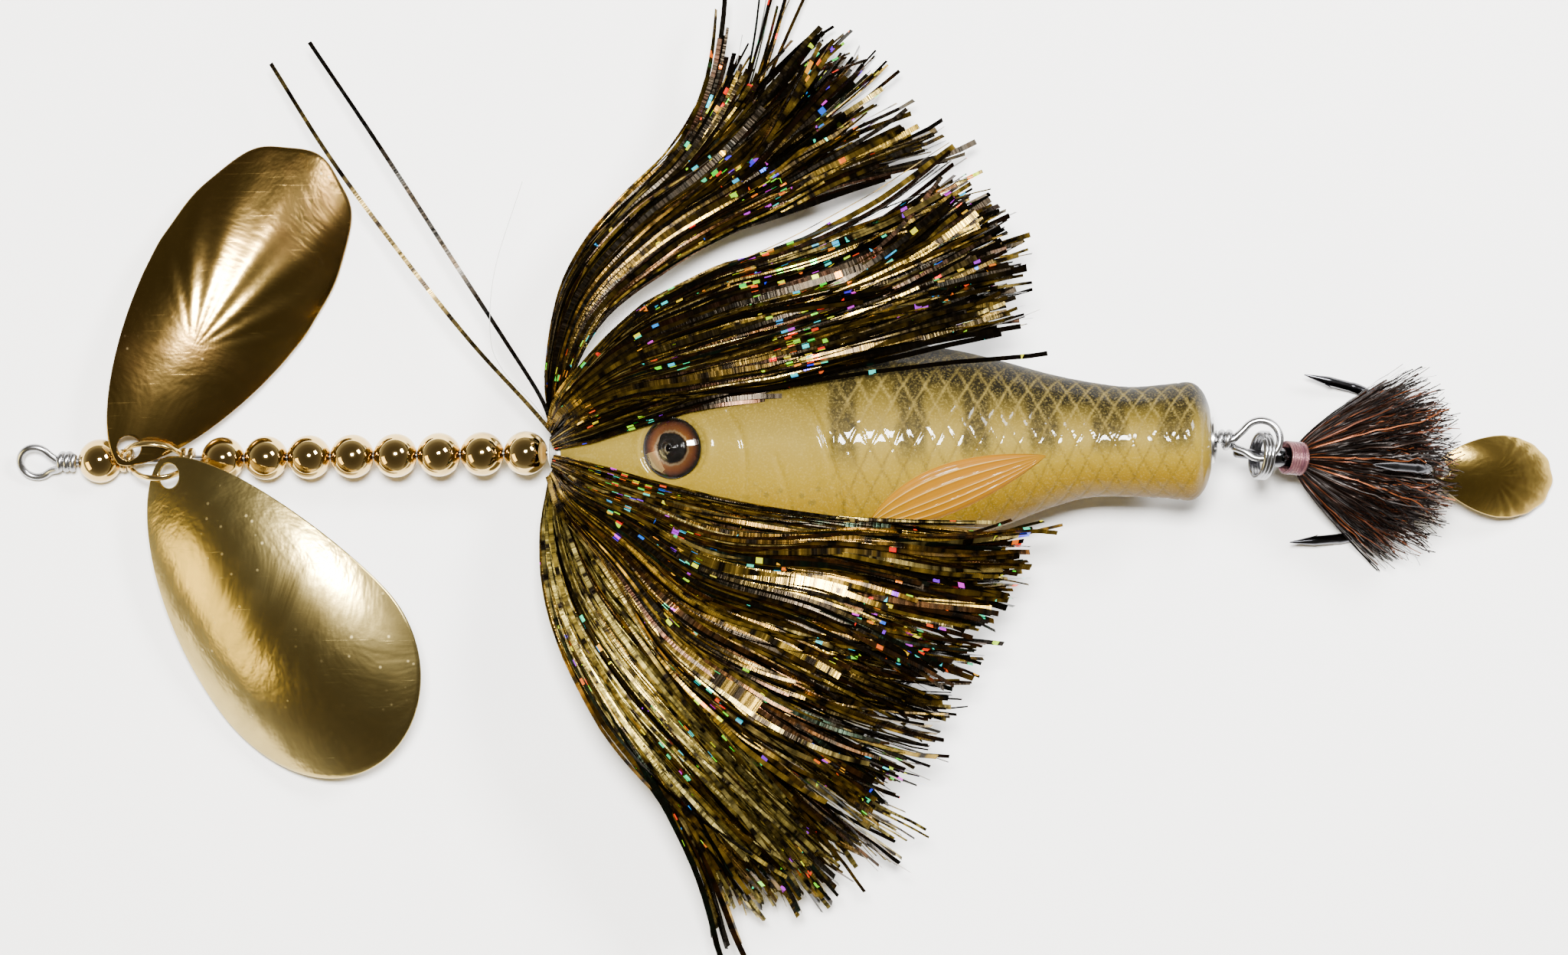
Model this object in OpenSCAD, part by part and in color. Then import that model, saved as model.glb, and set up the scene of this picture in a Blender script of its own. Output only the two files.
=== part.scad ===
// Inline spinner with two main blades, a row of balls, a flash skirt, a fish-shaped body and two
// trebles. It lies on its side: +X runs along the shaft to the tail, +Y is the fish's back and +Z is
// up. The origin is the centre of the line-tie eye. Everything is drawn about the shaft's own axis,
// and the whole lure is then tipped so that the front ball and the body's flank both touch the table.

/* [Shaft] */
// Diameter of the spring wire
wire_d = 1.35; // [1.2:0.05:1.4]
// Mean radius of the line-tie eye
tie_r = 3.0; // [2.8:0.1:3.2]
// Mean radius of the rear loop
loop_r = 3.45; // [3.4:0.05:3.6]
// Distance from the line-tie eye to the centre of the rear loop
loop_x = 224; // [224:0.5:226]
// How far the tail stands up from the table, in degrees
tilt = 5.3; // [5.2:0.1:5.4]

/* [Balls] */
// Diameter of each ball
ball_d = 8; // [7.9:0.05:8]
// Place of the front ball's centre
front_ball_x = 12.05; // [12:0.05:12.1]
// Place of the first ball in the row
row_x = 35; // [35:0.1:35.4]

/* [Blades] */
// Thickness of the blades
blade_t = 0.7; // [0.7:0.05:0.9]
// Diameter of the hole in each main blade
blade_hole_d = 4.3; // [4.2:0.1:4.4]
// Half the width of the fluted blade
fluted_w = 15.8; // [15:0.1:16]
// Half the width of the plain blade
plain_w = 20.5; // [20:0.1:21]

/* [Body] */
// Thickness of the body's wall
wall = 2.4; // [2:0.1:2.8]
// Radius of each moulded eye
eye_r = 5.5; // [5:0.1:5.6]

/* [Hooks] */
// Diameter of the treble wire
hook_d = 1.9; // [1.7:0.1:1.9]
// Radius of each hook's bend
bend_r = 7.6; // [7.4:0.1:7.8]
// Distance from the hook's eye to the start of its bend
shank = 23; // [22:0.5:24]

/* [Hidden] */

wire_r = wire_d / 2;
run = 0.06;                    // radial clearance of what turns on the wire
bore_r = wire_r + run;
fit = 0.02;                    // clearance of what is glued or pressed in
round_n = 48;

// Front eye and wraps
wrap_r = 1.3;
tie_wrap_x = [4.8, 6.05, 7.3];
rear_wrap_x = [217.2, 218.45];
rod_x = [8, 216.4];
eye_roll = 25;

// Clevises: a half round bow between two ears. The angle is where the bow stands about the shaft.
bow_r = 5.7;
strip_r = 0.55;
ear_r = 2.1;
ear_t = 0.8;
clevis_front_x = 22.1;
clevis_front_a = 58;
clevis_rear_x = 23.5;
clevis_rear_a = 126;
FLUTED = [36 + 3.6, 28.1, 2.3];        // narrow length, wide length, roundness of the wide end
PLAIN = [42 + 3.6, 23, 2];
narrow_n = 1.6;                        // roundness of every blade's narrow end
blade_edge = 3.6;                      // from the hole's centre to the narrow end
fluted_hang = 131.2;                   // where each blade hangs on its bow, in degrees from the rear
plain_hang = 66;
fluted_lie = [7.4, 3.8, 56.4];         // roll, pitch and heading of each blade against the table
plain_lie = [18, -1.5, -54.5];

// Body: [x, half height above, half height below, half thickness] about the shaft
STATIONS = [[98, 4.5, 4.5, 4.5], [101, 7.5, 7.5, 6.6], [106, 10.5, 10.8, 8.9], [113, 14, 14.5, 11.1],
            [122, 17.2, 17.8, 13.2], [134, 19.6, 20.8, 15], [147, 19.9, 21.9, 16.1],
            [158, 18.9, 20.2, 15.6], [169.5, 17.1, 17.4, 14.1], [178.5, 14.8, 14.4, 12.3],
            [186, 12.6, 11.6, 10.9], [193, 11, 9.9, 9.9], [200.5, 9.9, 9.9, 9.6],
            [207, 10.2, 10.3, 10.1], [211.4, 10.5, 10.7, 10.4], [213.6, 9, 9, 9],
            [214.9, 6, 6, 6], [215.2, 3.2, 3.2, 3.2]];
cavity_x = [128, 204];
RIBS = [134, 143, 157, 186];
rib_t = 3;
tube_r = 1.7;
weight_r = 4.2;
weight_y = -12;
weight_x = [139.5, 160];

eye_at = [119.7, 0.3, 10.6];
eye_turn = 12;
eye_dome = 1.3;

// The hanger under the belly and the chain of ring and treble, the same behind and below
hanger_x = 134;
hanger_y = -28.7;
anchor_y = -9;
ring_r = 3.95;
coil_r = 0.5;
coil_gap = 0.92;
ring_at = [0.5, -2.8, -0.9];
ring_lean = 22;
hook_eye_r = 2.85;
hook_r = hook_d / 2;
spear_r = 0.93 * hook_r;
rear_slope = 29.1;
rear_turn = -6;
bend_turn = 172;
spear = 5;
point = 5;
belly_turn = -35;
belly_slope = 5.7;
hook_at = ring_at - ring_r * [sin(ring_lean), 0, cos(ring_lean)];
// The link goes round the first hook's bend, and the tail blade hangs on it
link_r = 2.8;
link_wire_r = 0.4;
link_at = [shank + bend_r + 1.2, 0, hook_r + bend_r];

module lie() {
    rotate([0, -tilt, 0]) children();
}

// A round bar between two points
module bar(a, b, r) {
    d = b - a;
    translate(a)
        rotate([0, atan2(norm([d.x, d.y]), d.z), atan2(d.y, d.x)])
            cylinder(h = norm(d), r = r, $fn = round_n);
}

module ring(mean_r, r) {
    rotate_extrude($fn = round_n) translate([mean_r, 0]) circle(r, $fn = 24);
}

module along_x(x) {
    translate([x, 0, 0]) rotate([0, 90, 0]) children();
}

// ---- shaft ----

// The wire is one piece. It is drawn as its front eye, its straight length and its rear loop, which
// meet face to face just outside the wraps.
module tie_eye() {
    color("lightsteelblue") lie() {
        rotate([eye_roll, 0, 0]) ring(tie_r, wire_r);
        along_x(tie_r) cylinder(h = rod_x[0] - tie_r, r = wire_r, $fn = round_n);
        for (x = tie_wrap_x) along_x(x) ring(wrap_r, wire_r);
    }
}

module shaft_wire() {
    color("lightsteelblue") lie() along_x(rod_x[0])
        cylinder(h = rod_x[1] - rod_x[0], r = wire_r, $fn = round_n);
}

module tail_eye() {
    color("lightsteelblue") lie() {
        along_x(rod_x[1]) cylinder(h = loop_x - loop_r - rod_x[1], r = wire_r, $fn = round_n);
        for (x = rear_wrap_x) along_x(x) ring(wrap_r, wire_r);
        translate([loop_x, 0, 0]) ring(loop_r, wire_r);
    }
}

module ball(x) {
    color("goldenrod") lie() difference() {
        translate([x, 0, 0]) sphere(d = ball_d, $fn = round_n);
        along_x(x - ball_d) cylinder(h = 2 * ball_d, r = bore_r, $fn = round_n);
    }
}

module front_ball() {
    ball(front_ball_x);
}

// ---- clevises and blades ----

module clevis(x, turn) {
    color("gold") lie() translate([x, 0, 0]) difference() {
        union() {
            rotate([turn, 0, 0])
                rotate_extrude(angle = 180, $fn = round_n) translate([bow_r, 0]) circle(strip_r, $fn = 24);
            for (side = [-1, 1]) along_x(side * bow_r - ear_t / 2) cylinder(h = ear_t, r = ear_r, $fn = round_n);
        }
        along_x(-2 * bow_r) cylinder(h = 4 * bow_r, r = bore_r, $fn = round_n);
    }
}

module clevis_front() {
    clevis(clevis_front_x, clevis_front_a);
}

module clevis_rear() {
    clevis(clevis_rear_x, clevis_rear_a);
}

// Half outline of a blade from its narrow end round to its wide end: two superellipse quarters
function half_outline(size, w, edge, n = 16) = concat(
    [for (i = [0:n]) let (a = 90 * i / n)
        [size[0] - edge - size[0] * pow(cos(a), 2 / narrow_n), w * pow(sin(a), 2 / narrow_n)]],
    [for (i = [1:n]) let (a = 90 - 90 * i / n)
        [size[0] - edge + size[1] * pow(cos(a), 2 / size[2]), w * pow(sin(a), 2 / size[2])]]);

function outline(size, w, edge) = let (half = half_outline(size, w, edge), last = len(half) - 1)
    concat(half, [for (i = [last - 1:-1:1]) [half[i].x, -half[i].y]]);

// A dished blade with its hole at the origin, its length along +X and its crown up. Its two
// curvatures are those of a ring of radius long_r whose section has radius cross_r.
module blade(size, w, edge, hole_d, cross_r, long_r, t) {
    crest = (size[0] + size[1]) / 2 - edge;
    drop = crest * crest / (2 * long_r);
    translate([0, 0, t / 2 + drop]) difference() {
        intersection() {
            translate([crest, 0, -long_r]) rotate([90, 0, 0])
                rotate_extrude($fn = 180) translate([long_r - cross_r, 0]) difference() {
                    circle(cross_r, $fn = 120);
                    circle(cross_r - t, $fn = 120);
                }
            translate([0, 0, -cross_r / 2]) linear_extrude(cross_r) polygon(outline(size, w, edge));
        }
        translate([0, 0, -cross_r]) cylinder(h = 2 * cross_r, d = hole_d, $fn = round_n);
    }
}

// Where the bow of a clevis is, at an angle from its rear ear
function on_bow(x, turn, hang) = [x + bow_r * cos(hang), bow_r * sin(hang) * cos(turn),
                                  bow_r * sin(hang) * sin(turn)];

module hang_blade(at, turns) {
    translate(at) rotate([0, tilt, 0]) rotate([0, turns[1], turns[2]]) rotate([turns[0], 0, 0]) children();
}

module blade_fluted() {
    color("darkgoldenrod") lie() hang_blade(on_bow(clevis_front_x, clevis_front_a, fluted_hang), fluted_lie)
        blade(FLUTED, fluted_w, blade_edge, blade_hole_d, 30, 150, blade_t);
}

module blade_plain() {
    color("peru") lie() hang_blade(on_bow(clevis_rear_x, clevis_rear_a, plain_hang), plain_lie)
        blade(PLAIN, plain_w, blade_edge, blade_hole_d, 36, 95, blade_t);
}

// ---- skirt ----

module skirt_collar() {
    color("whitesmoke") lie() along_x(95.6) difference() {
        cylinder(h = 2.2, r = 2.9, $fn = round_n);
        translate([0, 0, -1]) cylinder(h = 5, r = 2 + fit, $fn = round_n);
    }
}

module skirt_thread() {
    color("silver") lie() along_x(95.6) difference() {
        cylinder(h = 1.6, r = 3.6, $fn = round_n);
        translate([0, 0, -1]) cylinder(h = 5, r = 2.9 + fit, $fn = round_n);
    }
}

// A closed bundle of strands that fans out along a path. Its oval sections all stand square to the
// line from its first point to its last, seen from above.
module bundle(path, wide, thick, sides = 14) {
    n = len(path);
    chord = path[n - 1] - path[0];
    side = [-chord.y, chord.x, 0] / norm([chord.x, chord.y]);
    points = [for (i = [0:n - 1], k = [0:sides - 1]) let (a = 360 * k / sides)
        path[i] + wide[i] * cos(a) * side + [0, 0, thick[i] * sin(a)]];
    skin = [for (i = [0:n - 2], k = [0:sides - 1]) let (j = (k + 1) % sides)
        [i * sides + k, (i + 1) * sides + k, (i + 1) * sides + j, i * sides + j]];
    first = [for (k = [0:sides - 1]) k];
    last = [for (k = [sides - 1:-1:0]) (n - 1) * sides + k];
    polyhedron(points, concat([first], skin, [last]), convexity = 8);
}

module skirt_upper_front() {
    color("saddlebrown") lie() bundle(
        [[96.4, 4.9, 1], [97.5, 14, 4], [103, 28, 5], [115, 40, 4], [131, 51, 0], [151, 68, -8]],
        [0.9, 3.8, 6.8, 9, 13, 18], [0.8, 1.5, 2, 2.4, 2.6, 2.6]);
}

module skirt_upper_rear() {
    color("olive") lie() bundle(
        [[96.6, 3.4, 3.7], [101, 8.5, 11], [112, 15, 14], [128, 20, 15.5], [145, 24.5, 15.5],
         [160, 29.5, 12.5], [176, 36, 7]],
        [0.8, 4.2, 9, 11, 10.5, 10.5, 11.5], [0.7, 1, 1.3, 1.8, 2.2, 2.4, 2.4]);
}

module skirt_lower_front() {
    color("darkorange") lie() bundle(
        [[96.4, -4.9, 1], [97.5, -14, 6], [102, -27, 10], [111, -41, 12], [123, -56, 10], [134, -69, 4],
         [142, -79, -3]],
        [0.9, 4.5, 7, 9, 10, 11, 12.5], [0.8, 1.5, 2, 2.4, 2.6, 2.6, 2.6]);
}

module skirt_lower_rear() {
    color("orange") lie() bundle(
        [[96.6, -3.4, 3.7], [101, -8.5, 11], [111, -15.5, 15], [124, -26, 17.5], [142, -33, 18],
         [156, -38.5, 15], [168, -42.5, 8]],
        [0.8, 4.5, 9, 14, 19, 22, 25], [0.7, 1, 1.3, 1.8, 2.2, 2.4, 2.4]);
}

// ---- body ----

// One ring of the body's section, as high and as thick as its station says, less an inset
function section(s, inset, sides, from, to) = [for (i = [0:sides]) let (a = from + (to - from) * i / sides)
    [s[0], cos(a) * ((cos(a) > 0 ? s[1] : s[2]) - inset), sin(a) * (s[3] - inset)]];

// The upper half of the body as one closed solid, flat on the middle plane
module half_loft() {
    sides = 14;
    n = len(STATIONS);
    row = sides + 1;
    points = [for (s = STATIONS) each section(s, 0, sides, 0, 180)];
    skin = [for (i = [0:n - 2], k = [0:sides]) let (j = (k + 1) % row)
        [i * row + k, (i + 1) * row + k, (i + 1) * row + j, i * row + j]];
    polyhedron(points, concat([[for (k = [0:sides]) k]], skin, [[for (k = [sides:-1:0]) (n - 1) * row + k]]),
               convexity = 6);
}

// The space inside the wall, all round
module cavity() {
    sides = 20;
    inner = [for (s = STATIONS) if (s[0] > cavity_x[0] && s[0] < cavity_x[1]) s];
    n = len(inner);
    points = [for (s = inner) each [for (p = section(s, wall, sides, 0, 360 - 360 / sides)) p]];
    row = sides + 1;
    skin = [for (i = [0:n - 2], k = [0:sides]) let (j = (k + 1) % row)
        [i * row + k, (i + 1) * row + k, (i + 1) * row + j, i * row + j]];
    polyhedron(points, concat([[for (k = [0:sides]) k]], skin, [[for (k = [sides:-1:0]) (n - 1) * row + k]]),
               convexity = 6);
}

module keel_shape(r) {
    translate([weight_x[0], weight_y, 0]) rotate([0, 90, 0])
        cylinder(h = weight_x[1] - weight_x[0], r = r, $fn = round_n);
}

module hanger_shape(grow) {
    bar([hanger_x, hanger_y + loop_r, 0], [hanger_x, anchor_y, 0], wire_r + grow);
    bar([hanger_x - 4, anchor_y, 0], [hanger_x + 4, anchor_y, 0], wire_r + grow);
}

module eye_seat(extra) {
    translate(eye_at) rotate([0, -eye_turn, 0]) cylinder(h = 2 + extra, r = eye_r, $fn = round_n);
}

// The leaf shape of a side fin, sunk into the flank
module fin_shape() {
    translate([170, -8.5, 11.2]) rotate([22, 8.5, 14]) linear_extrude(2.2) polygon(concat(
        [for (i = [0:12]) let (t = i / 12) [-17 + 34 * t, 5.2 * pow(sin(180 * pow(t, 0.8)), 0.9)]],
        [for (i = [11:-1:1]) let (t = i / 12) [-17 + 34 * t, -3.6 * pow(sin(180 * t), 0.9)]]));
}

// The flank that faces up
module body_half() {
    difference() {
        half_loft();
        difference() {
            cavity();
            for (x = RIBS) translate([x - rib_t / 2, -30, -1]) cube([rib_t, 60, 30]);
        }
        along_x(90) cylinder(h = 130, r = tube_r + fit, $fn = round_n);
        along_x(97) cylinder(h = 7 + fit, r = 2.6 + fit, $fn = round_n);
        along_x(211) cylinder(h = 7, r = 2.6 + fit, $fn = round_n);
        keel_shape(weight_r + fit);
        hanger_shape(fit);
        eye_seat(4);
        fin_shape();
    }
}

module body_left() {
    color("olivedrab") lie() body_half();
}

module body_right() {
    color("darkkhaki") lie() mirror([0, 0, 1]) body_half();
}

// A moulded eye: a disc with a low dome
module eye() {
    dome_r = (eye_r * eye_r + eye_dome * eye_dome) / (2 * eye_dome);
    translate(eye_at) rotate([0, -eye_turn, 0]) intersection() {
        translate([0, 0, 2 + eye_dome - dome_r]) sphere(r = dome_r, $fn = 2 * round_n);
        translate([0, 0, fit]) cylinder(h = 4, r = eye_r - fit, $fn = round_n);
    }
}

module eye_left() {
    color("sienna") lie() eye();
}

module eye_right() {
    color("sienna") lie() mirror([0, 0, 1]) eye();
}

module fin_left() {
    color("darkorange") lie() fin_shape();
}

module fin_right() {
    color("darkorange") lie() mirror([0, 0, 1]) fin_shape();
}

module bore_tube() {
    color("gainsboro") lie() along_x(104 + 2 * fit) difference() {
        cylinder(h = 211 - 104 - 4 * fit, r = tube_r, $fn = round_n);
        translate([0, 0, -1]) cylinder(h = 110, r = wire_r + 0.2, $fn = round_n);
    }
}

module nose_bush() {
    color("white") lie() difference() {
        union() {
            along_x(95.3) cylinder(h = 3, r = 2, $fn = round_n);
            along_x(97.9) cylinder(h = 6, r = 2.6, $fn = round_n);
        }
        along_x(90) cylinder(h = 20, r = bore_r, $fn = round_n);
    }
}

module tail_bush() {
    color("white") lie() along_x(211.1) difference() {
        cylinder(h = 4.3, r = 2.6, $fn = round_n);
        translate([0, 0, -1]) cylinder(h = 8, r = bore_r, $fn = round_n);
    }
}

module keel_weight() {
    color("dimgray") lie() keel_shape(weight_r);
}

module rear_washer() {
    color("silver") lie() along_x(215.45) rotate_extrude($fn = round_n)
        polygon([[bore_r, 0.35], [2.2, 0.35], [4.2, -0.2], [4.2, 0.2], [2.3, 0.75], [bore_r, 0.75]]);
}

// ---- rings and trebles ----

module split_ring(mean_r, r, gap, coils) {
    rotate_extrude($fn = round_n) for (k = [0:coils - 1])
        translate([mean_r, (k - (coils - 1) / 2) * gap]) circle(r, $fn = 24);
}

// A ring through a loop whose centre is the origin and whose plane is level
module hung_ring() {
    translate(ring_at) rotate([0, ring_lean, 0]) rotate([0, 90, 0]) split_ring(ring_r, coil_r, coil_gap, 3);
}

// One hook of a treble in the XZ plane, with its shank along +X: the bend turns a little short of
// half a circle, so that the point flares outward
module hook() {
    off = hook_r * 1.1;
    heel = [shank + bend_r * sin(bend_turn), 0, off + bend_r - bend_r * cos(bend_turn)];
    bar([shank - 4, 0, off], [shank, 0, off], hook_r);
    translate([shank, 0, off + bend_r]) rotate([90, 0, 0]) rotate([0, 0, -90])
        rotate_extrude(angle = bend_turn, $fn = round_n) translate([bend_r, 0]) circle(hook_r, $fn = 24);
    translate(heel) rotate([0, 90 - bend_turn, 0]) rotate_extrude($fn = round_n)
        polygon([[0, -0.4], [spear_r, -0.4], [spear_r, spear], [0.08, spear + point], [0, spear + point]]);
}

// A treble with its eye at the origin, its shank along +X and its first hook up
module treble() {
    rotate([90, 0, 0]) ring(hook_eye_r, hook_r);
    along_x(hook_eye_r + 0.3) cylinder(h = shank - 2 - hook_eye_r, r = 1.75, $fn = round_n);
    along_x(shank - 4) cylinder(h = 4.6, r = 0.6, $fn = round_n);
    for (k = [0:2]) rotate([120 * k, 0, 0]) hook();
}

module at_tail() {
    lie() translate([loop_x, 0, 0]) rotate([0, 0, rear_turn]) children();
}

module at_belly() {
    lie() translate([hanger_x, hanger_y, 0]) rotate([0, 0, belly_turn]) children();
}

module on_ring(slope) {
    translate(hook_at) rotate([0, slope, 0]) children();
}

module belly_hanger() {
    color("silver") lie() {
        translate([hanger_x, hanger_y, 0]) ring(loop_r, wire_r);
        hanger_shape(0);
    }
}

module belly_ring() {
    color("dimgray") at_belly() hung_ring();
}

module belly_treble() {
    color("darkslategray") at_belly() on_ring(belly_slope) treble();
}

module rear_ring() {
    color("dimgray") at_tail() hung_ring();
}

module rear_treble() {
    color("darkslategray") at_tail() on_ring(rear_slope) treble();
}

module treble_thread() {
    color("purple") at_tail() on_ring(rear_slope) difference() {
        along_x(6.4) cylinder(h = 4.2, r = 3.3, $fn = round_n);
        along_x(5) cylinder(h = 7, r = 2.3, $fn = round_n);
    }
}

// Three lobes of fibres between the hooks, the one underneath shorter
module treble_dressing() {
    color("maroon") at_tail() on_ring(rear_slope) {
        for (side = [-60, 60]) rotate([side, 0, 0]) bundle(
            [[10.7, 0, 2.6], [16, 0, 4.4], [22, 0, 6.2], [28, 0, 7.6], [33, 0, 8.4]],
            [0.9, 1.8, 3, 4.2, 4.8], [0.7, 1.6, 2.4, 2.8, 2.8]);
        rotate([180, 0, 0]) bundle([[10.7, 0, 2.6], [15, 0, 3.5], [20, 0, 4.3], [24, 0, 4.8]],
                                   [0.9, 1.6, 2.2, 2.6], [0.7, 1.2, 1.5, 1.6]);
    }
}

module tail_link() {
    color("gray") at_tail() on_ring(rear_slope) translate(link_at) rotate([45, 0, 0]) ring(link_r, link_wire_r);
}

module tail_blade() {
    color("goldenrod") at_tail() on_ring(rear_slope) translate(link_at + [link_r, 0, 0])
        blade([15, 11, 2.1], 7.5, 1.9, 2.5, 14, 40, 0.5);
}

tie_eye();
shaft_wire();
tail_eye();
front_ball();
ball(row_x + 0 * ball_d);  // ball_1
ball(row_x + 1 * ball_d);  // ball_2
ball(row_x + 2 * ball_d);  // ball_3
ball(row_x + 3 * ball_d);  // ball_4
ball(row_x + 4 * ball_d);  // ball_5
ball(row_x + 5 * ball_d);  // ball_6
ball(row_x + 6 * ball_d);  // ball_7
ball(row_x + 7 * ball_d);  // ball_8
clevis_front();
blade_fluted();
clevis_rear();
blade_plain();
skirt_collar();
skirt_thread();
skirt_upper_front();
skirt_upper_rear();
skirt_lower_front();
skirt_lower_rear();
body_left();
body_right();
eye_left();
eye_right();
fin_left();
fin_right();
bore_tube();
nose_bush();
tail_bush();
keel_weight();
belly_hanger();
belly_ring();
belly_treble();
rear_washer();
rear_ring();
rear_treble();
treble_thread();
treble_dressing();
tail_link();
tail_blade();
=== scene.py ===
import math
import bpy
import numpy as np
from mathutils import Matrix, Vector


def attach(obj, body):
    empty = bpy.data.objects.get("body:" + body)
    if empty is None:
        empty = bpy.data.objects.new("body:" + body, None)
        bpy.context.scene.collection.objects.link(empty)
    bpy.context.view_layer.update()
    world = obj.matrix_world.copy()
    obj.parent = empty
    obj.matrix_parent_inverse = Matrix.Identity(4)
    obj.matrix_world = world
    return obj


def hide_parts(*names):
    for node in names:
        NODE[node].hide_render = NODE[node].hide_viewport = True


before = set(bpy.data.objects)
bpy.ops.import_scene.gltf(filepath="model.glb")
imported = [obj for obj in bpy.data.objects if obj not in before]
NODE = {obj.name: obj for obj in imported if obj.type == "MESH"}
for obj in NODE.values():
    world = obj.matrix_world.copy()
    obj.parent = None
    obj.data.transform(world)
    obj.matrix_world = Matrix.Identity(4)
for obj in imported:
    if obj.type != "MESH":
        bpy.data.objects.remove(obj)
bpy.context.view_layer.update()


# ---------------------------------------------------------------- sizes, in millimetres about the shaft
TILT = math.radians(5.3)
WIRE_R = 0.675
TIE_R = 3.0
LOOP_R = 3.45
LOOP_X = 224
BALL_R = 4
FRONT_BALL_X = 12.05
ROW_X = 35
BOW_R = 5.7
BLADE_T = 0.7
FLOOR_Z = -2.89


def to_row(p):
    """Points about the shaft's axis in millimetres, in the row frame in metres."""
    p = np.asarray(p, float)
    c, s = math.cos(TILT), math.sin(TILT)
    return np.stack([p[..., 0] * c - p[..., 2] * s, p[..., 1], p[..., 0] * s + p[..., 2] * c], -1) / 1000


def floor_at(x):
    """Height of the table about the shaft's axis."""
    return (FLOOR_Z - np.asarray(x) * math.sin(TILT)) / math.cos(TILT)


def turn(axis, deg):
    a = math.radians(deg)
    c, s = math.cos(a), math.sin(a)
    return {"x": np.array([[1, 0, 0], [0, c, -s], [0, s, c]]),
            "y": np.array([[c, 0, s], [0, 1, 0], [-s, 0, c]]),
            "z": np.array([[c, -s, 0], [s, c, 0], [0, 0, 1]])}[axis]


# ---------------------------------------------------------------- meshes
def grid(n, m, wrap_n=False, wrap_m=False, start=0):
    """Quads of an n by m grid of points whose numbers run along m first."""
    i = np.arange(n if wrap_n else n - 1)
    j = np.arange(m if wrap_m else m - 1)
    i, j = np.meshgrid(i, j, indexing="ij")
    i, j = i.ravel(), j.ravel()
    i2, j2 = (i + 1) % n, (j + 1) % m
    return start + np.stack([i * m + j, i2 * m + j, i2 * m + j2, i * m + j2], -1)


def add_object(name, data):
    obj = bpy.data.objects.new(name, data)
    bpy.context.scene.collection.objects.link(obj)
    return obj


def make(name, points, quads, mat, body, nodes=(), uv=None, tris=None):
    """A piece from points in millimetres about the shaft. uv holds one pair for each point."""
    mesh = bpy.data.meshes.new(name)
    co = to_row(np.asarray(points, float).reshape(-1, 3))
    quads = np.asarray(quads, dtype=np.int32).reshape(-1, 4)
    loops = quads.ravel()
    totals = np.full(len(quads), 4, dtype=np.int32)
    if tris is not None and len(tris):
        tris = np.asarray(tris, dtype=np.int32).reshape(-1, 3)
        loops = np.concatenate([loops, tris.ravel()])
        totals = np.concatenate([totals, np.full(len(tris), 3, dtype=np.int32)])
    mesh.vertices.add(len(co))
    mesh.vertices.foreach_set("co", co.astype(np.float32).ravel())
    mesh.loops.add(len(loops))
    mesh.loops.foreach_set("vertex_index", loops.astype(np.int32))
    mesh.polygons.add(len(totals))
    mesh.polygons.foreach_set("loop_start", np.concatenate([[0], np.cumsum(totals)[:-1]]).astype(np.int32))
    mesh.polygons.foreach_set("use_smooth", np.full(len(totals), True))
    mesh.update(calc_edges=True)
    if uv is not None:
        layer = mesh.uv_layers.new(name="UVMap")
        layer.data.foreach_set("uv", np.asarray(uv, np.float32).reshape(-1, 2)[loops].ravel())
    mesh.validate()
    mesh.materials.append(mat)
    obj = add_object(name, mesh)
    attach(obj, body)
    if nodes:
        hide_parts(*nodes)
    return obj


def joined(parts):
    """Several (points, quads, tris, uv) as one."""
    points, quads, tris, uvs, at = [], [], [], [], 0
    for p in parts:
        pts = np.asarray(p[0], float).reshape(-1, 3)
        points.append(pts)
        quads.append(np.asarray(p[1]).reshape(-1, 4) + at)
        if len(p) > 2 and p[2] is not None and len(p[2]):
            tris.append(np.asarray(p[2]).reshape(-1, 3) + at)
        has_uv = len(p) > 3 and p[3] is not None
        uvs.append(np.asarray(p[3]).reshape(-1, 2) if has_uv else np.zeros((len(pts), 2)))
        at += len(pts)
    return (np.concatenate(points), np.concatenate(quads), np.concatenate(tris) if tris else None,
            np.concatenate(uvs))


def smooth_path(points, n):
    """n points evenly along a Catmull-Rom curve through the given points."""
    p = np.asarray(points, float)
    p = np.concatenate([[2 * p[0] - p[1]], p, [2 * p[-1] - p[-2]]])
    out = []
    for i in range(1, len(p) - 2):
        t = np.linspace(0, 1, 24, endpoint=False)[:, None]
        a, b, c, d = p[i - 1], p[i], p[i + 1], p[i + 2]
        square, cube = 2 * a - 5 * b + 4 * c - d, 3 * b - a - 3 * c + d
        out.append(0.5 * (2 * b + (c - a) * t + square * t ** 2 + cube * t ** 3))
    out = np.concatenate(out + [[p[-2]]])
    return even(out, n)


def even(path, n):
    """The same path with n points evenly along it."""
    s = np.concatenate([[0], np.cumsum(np.linalg.norm(np.diff(path[:, :3], axis=0), axis=1))])
    t = np.linspace(0, s[-1], n)
    return np.stack([np.interp(t, s, path[:, k]) for k in range(path.shape[1])], -1)


def relax(path, rounds):
    """The same path with its corners rounded off."""
    path = path.copy()
    for _ in range(rounds):
        path[1:-1] = 0.25 * path[:-2] + 0.5 * path[1:-1] + 0.25 * path[2:]
    return path


def frames(path):
    """Two unit normals that don't twist along the path."""
    t = np.gradient(path, axis=0)
    t /= np.linalg.norm(t, axis=1)[:, None]
    start = np.array([0, 0, 1.0]) if abs(t[0][2]) < 0.9 else np.array([0, 1.0, 0])
    u = np.zeros_like(path)
    last = start - t[0] * start.dot(t[0])
    for i in range(len(path)):
        last = last - t[i] * last.dot(t[i])
        last /= np.linalg.norm(last)
        u[i] = last
    return u, np.cross(t, u)


def end_caps(n, m):
    """Triangles from the two points that follow an n by m grid of rings to its first and last ring."""
    j, after, last = np.arange(m), (np.arange(m) + 1) % m, (n - 1) * m
    return np.concatenate([np.stack([np.full(m, n * m), after, j], -1),
                           np.stack([np.full(m, n * m + 1), last + j, last + after], -1)])


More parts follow.
